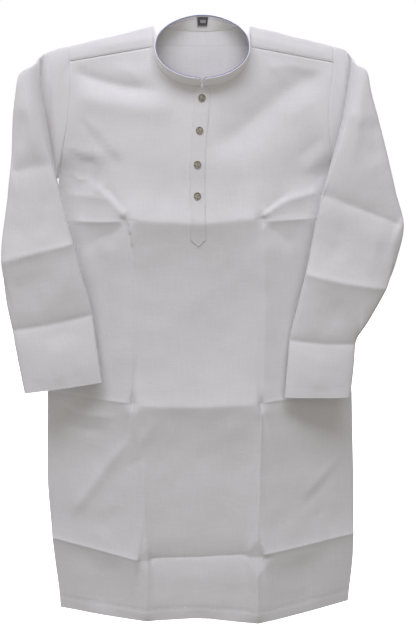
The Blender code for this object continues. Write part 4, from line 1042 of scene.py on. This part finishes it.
def sleeve_points(side, table, creases, seed):
    """Rings of a sleeve from the armhole to the cuff, with its folds."""
    indexes = [k * RING_POINTS / SLEEVE_COLUMNS for k in range(SLEEVE_COLUMNS)]
    rings = [[armhole_point(side, index) for index in indexes]]
    rings += [[sleeve_section(side, row, index) for index in indexes] for row in table]
    rings = np.array(rings)
    last = len(rings) - 1
    folded = np.linspace(0.0, FOLDED_ROWS, 9 * FOLDED_ROWS + 1)
    hanging = np.linspace(FOLDED_ROWS, last, 1 + 19 * (last - FOLDED_ROWS))[1:]
    at = np.concatenate([folded, hanging])
    points = np.empty((len(at), len(indexes), 3))
    for i in range(len(indexes)):
        for axis in range(3):
            points[:, i, axis] = smooth_at(np.arange(last + 1), rings[:, i, axis], at)
    x, z = points[:, :, 0], points[:, :, 2]
    hangs = ease((at - HANGING_FROM) / 2.0)[:, None]
    forward = crease_field(creases, x, z) + 0.0028 * ripple(x, z, 0.085, seed)
    deep = [crease for crease in creases if abs(crease.height) > DEEP_FOLD]
    forward += crease_field(pressed_edges(deep, 0.0045, 0.0006, 0.004), x, z)
    small = 0.0007 * ripple(x, z, 0.030, seed + 3)
    points[:, :, 1] -= hangs * (forward + small)
    dips = np.array([armhole_dip(side, index) for index in indexes])
    from_seam = np.linalg.norm(points - points[:1], axis=2)
    points += dips[None, :, :] * np.exp(-((from_seam / SEAM_REACH) ** 2))[:, :, None]
    return np.concatenate([points, points[:, :1]], axis=1)


def sleeve(name, node, side, table, creases, seed):
    points = sleeve_points(side, table, creases, seed)
    ordered = points[:, ::-1] if side < 0 else points
    pattern = np.empty((*ordered.shape[:2], 2))
    pattern[:, :, 0] = np.linspace(0.0, SLEEVE_GIRTH, ordered.shape[1])[None, :]
    pattern[:, :, 1] = -arc_lengths(ordered[:, ordered.shape[1] // 4])[:, None]
    piece = grid_piece(name, ordered, pattern, flip=True)
    merge_points(piece)
    give_wall(piece, CLOTH)
    finish(piece, WHITE_COTTON, "cotton", node)
    return piece, points


left_sleeve, left_points = sleeve(
    "left_sleeve", "sleeve_left", -1, SLEEVE_LEFT, SLEEVE_CREASES_LEFT, 41.0
)
right_sleeve, right_points = sleeve(
    "right_sleeve", "sleeve_right", 1, SLEEVE_RIGHT, SLEEVE_CREASES_RIGHT, 53.0
)


# Collar band
@lru_cache(None)
def neck_ring(angle):
    """The neckline at an angle: 0 at the centre back, pi at the centre front, minus on the left."""
    side = 1 if angle >= 0 else -1
    turn = abs(angle)
    if turn >= math.pi / 2:
        reach = max(NECK_HALF_WIDTH * math.sin(math.pi - turn), SLIT_HALF * 0.6)
        x = NECK_CENTRE + side * reach
        z = float(neckline_z(x))
        return np.array([x, float(layer_y("front", np.array([x]), np.array([z]))[0]), z])
    index = np.interp(-math.degrees(turn), [-angle for angle in NECK_ANGLES], range(len(NECK_ANGLES)))
    return neck_side(side, float(index))


def collar_top(angle):
    x = COLLAR_CENTRE + COLLAR_HALF_WIDTH * math.sin(angle)
    z = COLLAR_MIDDLE_Z + COLLAR_HALF_HEIGHT * math.cos(angle)
    lean = ((1 + math.cos(angle)) / 2) ** COLLAR_LEAN_POWER
    return np.array([x, mix(COLLAR_FRONT_Y, COLLAR_BACK_Y, lean), z])


def collar_height(angle):
    """Share of the collar's height at an angle: it falls off in a quarter round at the front ends."""
    reach = min((math.pi - abs(angle)) * COLLAR_HALF_WIDTH / COLLAR_CORNER, 1.0)
    return mix(COLLAR_END_SHARE, 1.0, math.sqrt(1 - (1 - reach) ** 2))


def collar_point(angle, up):
    foot, top = neck_ring(angle), collar_top(angle)
    return foot + (top - foot) * up * collar_height(angle)


def collar_angles():
    half = np.degrees(np.linspace(0.0, math.radians(172.0), 78))
    half = np.concatenate([half, [173.5, 175.0, 176.2, 177.2, 178.0, 178.7, 179.2, 179.6, 179.9]])
    return np.radians(np.concatenate([-half[:0:-1], half]))


angles = collar_angles()
collar_points = np.array([[collar_point(angle, up) for angle in angles] for up in np.linspace(1.0, 0.0, 13)])
collar = grid_piece("collar", collar_points, pattern_of(collar_points), flip=True)
give_wall(collar, BAND_CLOTH, round_edge=0.0004)
finish(collar, PAINTED_LIGHT_COLLAR_COTTON, "cotton", "collar_band")


# Placket strips
def strip_points(offsets, top, end, out, point_drop=0.0):
    """Rows of points of a strip down the front, moved out from the front panel."""
    keys = [top, YOKE_MEETS_Z, ARMPIT_Z, float(line_z(CHEST_LINE, 0.0)), end]
    heights = list(np.linspace(keys[0], keys[1], 13))
    heights += list(np.linspace(keys[1], keys[2], 31))[1:]
    heights += [mix(keys[2], keys[3], share) for share in crowded(24)]
    heights += list(np.linspace(keys[3], keys[4], 17))[1:]
    z = np.repeat(np.array(heights)[:, None], len(offsets), axis=1)
    low = ease((z - end - 0.02) / -0.02)
    z = z - point_drop * low * (1 - np.abs(np.array(offsets))[None, :] / max(offsets))
    x = body("centre", z) + np.array(offsets)[None, :]
    return np.dstack([x, layer_y("front", x, z) - out, z])


placket_top = float(neckline_z(0.0)) - PLACKET_TOP_GAP
offsets = list(np.linspace(-PLACKET_HALF, PLACKET_HALF, 15))
placket_points = strip_points(offsets, placket_top, PLACKET_END, STRIP_STEP, PLACKET_POINT)
placket = grid_piece("front_placket", placket_points, pattern_of(placket_points))
give_wall(placket, STRIP_CLOTH, round_edge=0.0002)
finish(placket, BAND_COTTON, "cotton", "placket")

offsets = list(np.linspace(-UNDER_PLACKET_HALF, UNDER_PLACKET_HALF, 9))
under_points = strip_points(offsets, placket_top, PLACKET_END, -STRIP_STEP)
under = grid_piece("placket_facing", under_points, pattern_of(under_points))
give_wall(under, STRIP_CLOTH)
finish(under, BAND_COTTON, "cotton", "under_placket")


# Buttons
def shell_material():
    """Smoky shell: banded olive, brown and grey, with a clear polish."""
    material, tree, shader = new_material("smoky_shell", 0.26)
    shader.inputs["Coat Weight"].default_value = 0.5
    shader.inputs["Coat Roughness"].default_value = 0.12
    where = tree.nodes.new("ShaderNodeTexCoord").outputs["Object"]
    bands = add_node(tree, "TexNoise", Vector=where, Scale=190.0, Detail=4.0, Distortion=1.6)
    banded = tint(tree, bands.outputs["Fac"], (0.050, 0.040, 0.022), (0.42, 0.38, 0.27))
    tree.links.new(banded, shader.inputs["Base Color"])
    return material


SMOKY_SHELL = shell_material()


def button_place(height):
    """Turns a button modelled about the origin, facing +Z, onto the placket at a height."""
    z = np.array([height + BUTTON_RADIUS, height - BUTTON_RADIUS, height])
    x = body("centre", z)
    y = layer_y("front", x, z)
    above, below, middle = (Vector(values) for values in zip(x, y, z))
    facing = Vector((1, 0, 0)).cross((above - below).normalized())
    facing = facing if facing.y < 0 else -facing
    turn = facing.to_track_quat("Z", "Y").to_matrix().to_4x4()
    return Matrix.Translation(middle - Vector((0, BUTTON_SEAT, 0))) @ turn


def model_button(name):
    """A four-hole button: a round blank with a sunk, dished face and four drilled holes."""
    bpy.ops.object.select_all(action="DESELECT")
    bpy.ops.mesh.primitive_cylinder_add(
        vertices=48, radius=BUTTON_RADIUS, depth=BUTTON_THICK, location=(0, 0, BUTTON_THICK / 2)
    )
    button = bpy.context.object
    button.name = name
    insets = [partial(bpy.ops.mesh.inset, **inset, use_even_offset=False) for inset in BUTTON_INSETS]
    edit_faces(button, lambda face: face.normal.z > 0.5, *insets)
    for k in range(4):
        angle = math.pi / 4 + k * math.pi / 2
        spot = (HOLE_CIRCLE * math.cos(angle), HOLE_CIRCLE * math.sin(angle), BUTTON_THICK / 2)
        bpy.ops.mesh.primitive_cylinder_add(
            vertices=14, radius=HOLE_RADIUS, depth=3 * BUTTON_THICK, location=spot
        )
        drill = bpy.context.object
        cut = button.modifiers.new("hole", "BOOLEAN")
        cut.operation = "DIFFERENCE"
        cut.solver = "EXACT"
        cut.object = drill
        apply_all(button)
        bpy.data.objects.remove(drill)
    bevel = button.modifiers.new("polish", "BEVEL")
    bevel.width = 0.00030
    bevel.segments = 2
    bevel.limit_method = "ANGLE"
    bevel.angle_limit = math.radians(40)
    apply_all(button)
    bpy.ops.object.shade_smooth_by_angle(angle=math.radians(35))
    return button


def model_button_thread(name):
    """Two pairs of parallel threads through a button's holes, and the wound shank under it."""
    parts = []
    level = BUTTON_THICK * 0.72
    for y in (-0.00106, 0.00106):
        for shift in (-0.00022, 0.0, 0.00022):
            bpy.ops.mesh.primitive_cylinder_add(
                vertices=8, radius=0.00014, depth=0.0021, location=(0, y + shift, level),
                rotation=(0, math.pi / 2, 0),
            )
            parts.append(bpy.context.object)
    bpy.ops.mesh.primitive_cylinder_add(vertices=12, radius=0.0009, depth=0.0030, location=(0, 0, -0.0013))
    parts.append(bpy.context.object)
    for part in parts:
        part.data.transform(part.matrix_world)
        part.matrix_world = Matrix.Identity(4)
    return join_pieces(name, parts)


for number, height in enumerate(BUTTON_HEIGHTS, 1):
    place = button_place(height) @ Matrix.Rotation(0.5 * number, 4, "Z")
    button = model_button(f"shell_button_{number}")
    button.data.transform(place)
    button.matrix_world = Matrix.Identity(4)
    finish(button, SMOKY_SHELL, "button", f"button_{number}")
    thread = model_button_thread(f"button_thread_{number}")
    thread.data.transform(place)
    finish(thread, WHITE_THREAD, "cotton")


# Neck tab
def tab_material():
    """Dark woven tab with a paler woven border and a pale patch, with nothing written on it."""
    material, tree, shader = new_material("dark_weave", 0.75)
    where = tree.nodes.new("ShaderNodeUVMap").outputs["UV"]
    split = tree.nodes.new("ShaderNodeSeparateXYZ")
    tree.links.new(where, split.inputs[0])
    across = math_node(tree, "ABSOLUTE", math_node(tree, "SUBTRACT", split.outputs["X"], TAB_HALF_WIDTH))
    down = math_node(tree, "ABSOLUTE", math_node(tree, "ADD", split.outputs["Y"], TAB_HALF_HEIGHT))
    rim = math_node(tree, "MAXIMUM", across, math_node(tree, "ADD", down, TAB_HALF_WIDTH - TAB_HALF_HEIGHT))
    border = math_node(tree, "GREATER_THAN", rim, TAB_BORDER_FROM)
    oblong = math_node(tree, "MAXIMUM", across, math_node(tree, "MULTIPLY", down, 1.6))
    patch = math_node(tree, "LESS_THAN", oblong, TAB_PATCH_HALF)
    weave = placed_group(tree, PLAIN_WEAVE, where, "Threads", 2600.0)
    field = tint(tree, weave.outputs["Tone"], (0.055, 0.055, 0.060), (0.14, 0.14, 0.145))
    pale = tree.nodes.new("ShaderNodeMix")
    pale.data_type = "RGBA"
    tree.links.new(math_node(tree, "MAXIMUM", border, patch), pale.inputs["Factor"])
    tree.links.new(field, pale.inputs["A"])
    pale.inputs["B"].default_value = (0.40, 0.40, 0.42, 1.0)
    tree.links.new(pale.outputs["Result"], shader.inputs["Base Color"])
    bump = add_node(tree, "Bump", Strength=0.5, Distance=0.0002, Height=weave.outputs["Height"])
    tree.links.new(bump.outputs["Normal"], shader.inputs["Normal"])
    return material


def tab_points():
    rows = []
    for up in np.linspace(TAB_TOP_SHARE, TAB_BOTTOM_SHARE, 11):
        row = []
        for share in np.linspace(-1.0, 1.0, 13):
            angle = share * TAB_HALF_WIDTH / COLLAR_HALF_WIDTH
            point = mix(neck_ring(angle), collar_top(angle), up)
            row.append(point + np.array([0.0, -0.0014, -0.0004]))
        rows.append(row)
    return np.array(rows)


tab_grid = tab_points()
tab = grid_piece("woven_tab", tab_grid, pattern_of(tab_grid))
give_wall(tab, 0.0006, round_edge=0.00015)
finish(tab, tab_material(), "tab", "neck_tab")


# Sewing
def model_stitch():
    """Points and faces of one stitch along +X: a five-sided bar that dips into the cloth at its ends."""
    bpy.ops.object.select_all(action="DESELECT")
    bpy.ops.mesh.primitive_circle_add(vertices=5, radius=STITCH_RADIUS, location=(0, 0, -STITCH / 2))
    bar = bpy.context.object
    bpy.context.tool_settings.mesh_select_mode = (True, False, False)
    bpy.ops.object.mode_set(mode="EDIT")
    bpy.ops.mesh.select_all(action="SELECT")
    for _ in range(3):
        bpy.ops.mesh.extrude_region_move(TRANSFORM_OT_translate={"value": (0, 0, STITCH / 3)})
    bpy.ops.mesh.select_all(action="SELECT")
    bpy.ops.mesh.normals_make_consistent(inside=False)
    bpy.ops.object.mode_set(mode="OBJECT")
    points = []
    for vert in bar.data.vertices:
        out, across, along = vert.co.x, vert.co.y, vert.co.z - STITCH / 2
        share = abs(along) / (STITCH / 2)
        points.append((along, across, out - 1.1 * STITCH_RADIUS * share**3))
    faces = [list(face.vertices) for face in bar.data.polygons]
    bpy.data.objects.remove(bar)
    return np.array(points), faces


STITCH_POINTS, STITCH_FACES = model_stitch()


def line_inside(points, edge, distance):
    """The line along one edge of a sheet at a distance inside it, with the sheet's normals there."""
    views = {
        "top": lambda grid: grid,
        "bottom": lambda grid: grid[::-1],
        "left": lambda grid: grid.transpose(1, 0, 2),
        "right": lambda grid: grid[:, ::-1].transpose(1, 0, 2),
    }
    grid, facing = views[edge](points), views[edge](normals_of(points))
    path, normals = [], []
    for k in range(grid.shape[1]):
        arc = arc_lengths(grid[:, k])
        path.append([np.interp(distance, arc, grid[:, k, axis]) for axis in range(3)])
        normals.append([np.interp(distance, arc, facing[:, k, axis]) for axis in range(3)])
    return np.array(path), np.array(normals)


def stitched(line, towards, wall, keep=None):
    """Places of the stitches of one line, on the side of the cloth that looks towards a direction."""
    path, normals = line
    if keep is not None:
        path, normals = path[keep], normals[keep]
        towards = towards[keep] if np.ndim(towards) > 1 else towards
    normals = normals * np.sign(np.sum(normals * towards, axis=1, keepdims=True))
    arc = arc_lengths(path)
    count = max(int(arc[-1] / (STITCH + STITCH_GAP)), 1)
    at = (np.arange(count) + 0.5) * arc[-1] / count

    def read(values, where):
        return np.stack([np.interp(where, arc, values[:, axis]) for axis in range(3)], axis=1)

    ahead = read(path, at + STITCH / 2) - read(path, at - STITCH / 2)
    ahead /= np.linalg.norm(ahead, axis=1, keepdims=True)
    up = read(normals, at)
    up -= ahead * np.sum(up * ahead, axis=1, keepdims=True)
    up /= np.linalg.norm(up, axis=1, keepdims=True)
    across = np.cross(up, ahead)
    spots = read(path, at) + up * (wall / 2 + 0.6 * STITCH_RADIUS)
    x, y, z = (STITCH_POINTS[:, axis][None, :, None] for axis in range(3))
    return spots[:, None] + ahead[:, None] * x + across[:, None] * y + up[:, None] * z


def sew(name, lines, thread):
    """All the stitches of some lines as one piece."""
    points = np.concatenate(lines)
    faces = [[k * len(STITCH_POINTS) + i for i in face] for k in range(len(points)) for face in STITCH_FACES]
    mesh = bpy.data.meshes.new(name)
    mesh.from_pydata(points.reshape(-1, 3).tolist(), [], faces)
    mesh.shade_smooth()
    piece = bpy.data.objects.new(name, mesh)
    bpy.context.scene.collection.objects.link(piece)
    finish(piece, thread, "cotton")
    return piece


FORWARD, BACKWARD = np.array([0.0, -1.0, 0.3]), np.array([0.0, 1.0, 0.3])


def panel_lines(points, towards):
    """Stitch lines of a panel: along the hem and up both vents, each with a short bar across its top."""
    lines = [stitched(line_inside(points, "bottom", HEM_TURN), towards, CLOTH)]
    for edge, column, step in (("left", 0, 1), ("right", -1, -1)):
        slit = points[:, column, 2] < VENT_TOP
        lines.append(stitched(line_inside(points, edge, VENT_TURN), towards, CLOTH, slit))
        top = int(np.argmax(slit))
        from_edge = np.abs(points[top, :, 0] - points[top, column, 0])
        near = [column + step * k for k in range(12) if from_edge[column + step * k] < VENT_TURN]
        bar, normals = points[top, near], normals_of(points)[top, near]
        lines.append(stitched((bar, normals), towards, CLOTH))
    return lines


def yoke_lines():
    """Topstitches on the yoke beside its front and back seams."""
    lines = []
    for side in (-1, 1):
        grid = yoke_parts[side]
        clear = slice(2, -2)
        lines.append(stitched(line_inside(grid, "top", TOPSTITCH + SEAM_REACH), FORWARD, CLOTH, clear))
        lines.append(stitched(line_inside(grid, "bottom", TOPSTITCH + SEAM_REACH), BACKWARD, CLOTH, clear))
    for towards in (FORWARD, BACKWARD):
        lines.append(stitched(line_inside(behind_neck, "bottom", TOPSTITCH), towards, CLOTH))
    return lines


def cuff_lines(points):
    """The stitch line round a cuff."""
    line = line_inside(points, "bottom", CUFF_TURN)
    return [stitched(line, line[0] - line[0].mean(axis=0), CLOTH)]


def placket_lines():
    """Topstitches round the placket, the double row across its end, and the buttonholes."""
    clear = slice(2, -1)
    lines = []
    for edge, keep in (("left", clear), ("right", clear), ("bottom", slice(1, -1))):
        lines.append(stitched(line_inside(placket_points, edge, TOPSTITCH), FORWARD, STRIP_CLOTH, keep))
    facing = normals_of(placket_points)
    for height in BAR_HEIGHTS:
        row = int(np.argmin(np.abs(placket_points[:, 0, 2] - height)))
        lines.append(stitched((placket_points[row], facing[row]), FORWARD, STRIP_CLOTH, slice(1, -1)))
    middle = placket_points.shape[1] // 2
    for height in BUTTON_HEIGHTS:
        rows = np.abs(placket_points[:, middle, 2] - height) < BUTTONHOLE / 2
        for shift in (-0.0008, 0.0008):
            path = placket_points[:, middle] + np.array([shift, 0.0, 0.0])
            lines.append(stitched((path, facing[:, middle]), FORWARD, STRIP_CLOTH, rows))
    return lines


def collar_outward(points):
    """Directions away from the neck, for a line along the collar."""
    return points - np.array([COLLAR_CENTRE, points[:, 1].mean(), COLLAR_MIDDLE_Z])


def collar_line(edge, distance, inside, limit):
    line = line_inside(collar_points, edge, distance)
    towards = collar_outward(line[0]) * (-1 if inside else 1)
    return stitched(line, towards, BAND_CLOTH, np.abs(angles) < math.radians(limit))


def collar_piping():
    """Rows of points of the thin blue piping along the inner side of the collar's top edge."""
    top, foot = collar_points[0], collar_points[-1]
    up = (top - foot) / np.linalg.norm(top - foot, axis=1, keepdims=True)
    out = normals_of(collar_points)[0]
    out *= np.sign(np.sum(out * collar_outward(top), axis=1, keepdims=True))
    middle = top - out * (BAND_CLOTH / 2 + 0.6 * PIPING_RADIUS) - up * 0.3 * PIPING_RADIUS
    rows = []
    for turn in np.linspace(0.0, 2 * math.pi, 9):
        rows.append(middle + PIPING_RADIUS * (math.cos(turn) * up + math.sin(turn) * out))
    return np.array(rows)


sew("panel_stitches", panel_lines(front_points, FORWARD) + panel_lines(back_points, BACKWARD), WHITE_THREAD)
sew("yoke_stitches", yoke_lines(), WHITE_THREAD)
sew("cuff_stitches", cuff_lines(left_points) + cuff_lines(right_points), WHITE_THREAD)
sew("placket_stitches", placket_lines(), WHITE_THREAD)
sew("collar_stitches", [collar_line("bottom", TOPSTITCH, False, 176.0)], WHITE_THREAD)
sew("collar_inner_stitches", [collar_line("top", COLLAR_INNER_ROW, True, 165.0)], BLUE_THREAD)

piping_points = collar_piping()
piping = grid_piece("collar_piping", piping_points, pattern_of(piping_points))
merge_points(piping)
bpy.ops.object.shade_smooth()
finish(piping, BLUE_THREAD, "cotton")


# Studio
FLOOR_Z = -1.25
CAMERA_LENS = 76.4
CAMERA_TARGET = Vector((0.0127, 0.0, -0.438))
CAMERA_AWAY = 2.4
CAMERA_PITCH = math.radians(10.0)


def floor():
    """A plain pale floor, well below the hem."""
    bpy.ops.object.select_all(action="DESELECT")
    bpy.ops.mesh.primitive_circle_add(vertices=96, radius=6.0, fill_type="NGON", location=(0.0, 0.0, FLOOR_Z))
    stage = bpy.context.object
    stage.name = "studio_floor"
    material, _, shader = new_material("studio_white", 0.9)
    shader.inputs["Base Color"].default_value = (0.95, 0.95, 0.95, 1.0)
    shader.inputs["Emission Color"].default_value = (1.0, 1.0, 1.0, 1.0)
    shader.inputs["Emission Strength"].default_value = 1.0
    stage.data.materials.append(material)
    stage.visible_diffuse = False
    stage.visible_glossy = False
    stage.visible_shadow = False


def air():
    """Warm soft light from all round, which the camera sees as plain white."""
    world = bpy.data.worlds.new("studio_air")
    bpy.context.scene.world = world
    world.use_nodes = True
    tree = world.node_tree
    soft = tree.nodes["Background"]
    soft.inputs["Color"].default_value = (1.0, 0.970, 0.935, 1.0)
    soft.inputs["Strength"].default_value = 0.26
    seen = tree.nodes.new("ShaderNodeBackground")
    seen.inputs["Color"].default_value = (1.0, 1.0, 1.0, 1.0)
    blend = tree.nodes.new("ShaderNodeMixShader")
    path = tree.nodes.new("ShaderNodeLightPath")
    tree.links.new(path.outputs["Is Camera Ray"], blend.inputs["Fac"])
    tree.links.new(soft.outputs[0], blend.inputs[1])
    tree.links.new(seen.outputs[0], blend.inputs[2])
    tree.links.new(blend.outputs[0], tree.nodes["World Output"].inputs["Surface"])


def softbox(name, spot, aim, size, power, colour):
    data = bpy.data.lights.new(name, "AREA")
    data.shape = "RECTANGLE"
    data.size, data.size_y = size
    data.energy = power
    data.color = colour
    lamp = bpy.data.objects.new(name, data)
    bpy.context.scene.collection.objects.link(lamp)
    lamp.location = spot
    lamp.rotation_euler = (Vector(aim) - Vector(spot)).to_track_quat("-Z", "Y").to_euler()


def studio():
    floor()
    softbox("top_softbox", (-0.3, -2.0, 2.9), (0.0, 0.0, -0.20), (3.4, 1.5), 100.0, (0.890, 0.880, 1.0))
    softbox("front_fill", (0.3, -3.6, 0.35), (0.0, 0.0, -0.4), (3.0, 2.4), 19.0, (1.0, 0.965, 0.90))
    softbox("left_edge", (-2.4, -0.2, 0.8), (0.0, 0.0, -0.4), (1.6, 2.4), 10.0, (0.96, 0.96, 1.0))
    softbox("back_softbox", (0.7, 3.4, 3.4), (0.0, 0.0, -0.4), (2.4, 1.8), 290.0, (0.96, 0.95, 1.0))
    air()
    bpy.context.scene.view_settings.view_transform = "Standard"


def camera():
    data = bpy.data.cameras.new("photo_camera")
    data.sensor_width = 36.0
    data.lens = CAMERA_LENS
    shot = bpy.data.objects.new("photo_camera", data)
    bpy.context.scene.collection.objects.link(shot)
    towards = Vector((0.0, -math.cos(CAMERA_PITCH), math.sin(CAMERA_PITCH)))
    shot.location = CAMERA_TARGET + CAMERA_AWAY * towards
    shot.rotation_euler = (math.pi / 2 - CAMERA_PITCH, 0.0, 0.0)
    bpy.context.scene.camera = shot


studio()
camera()
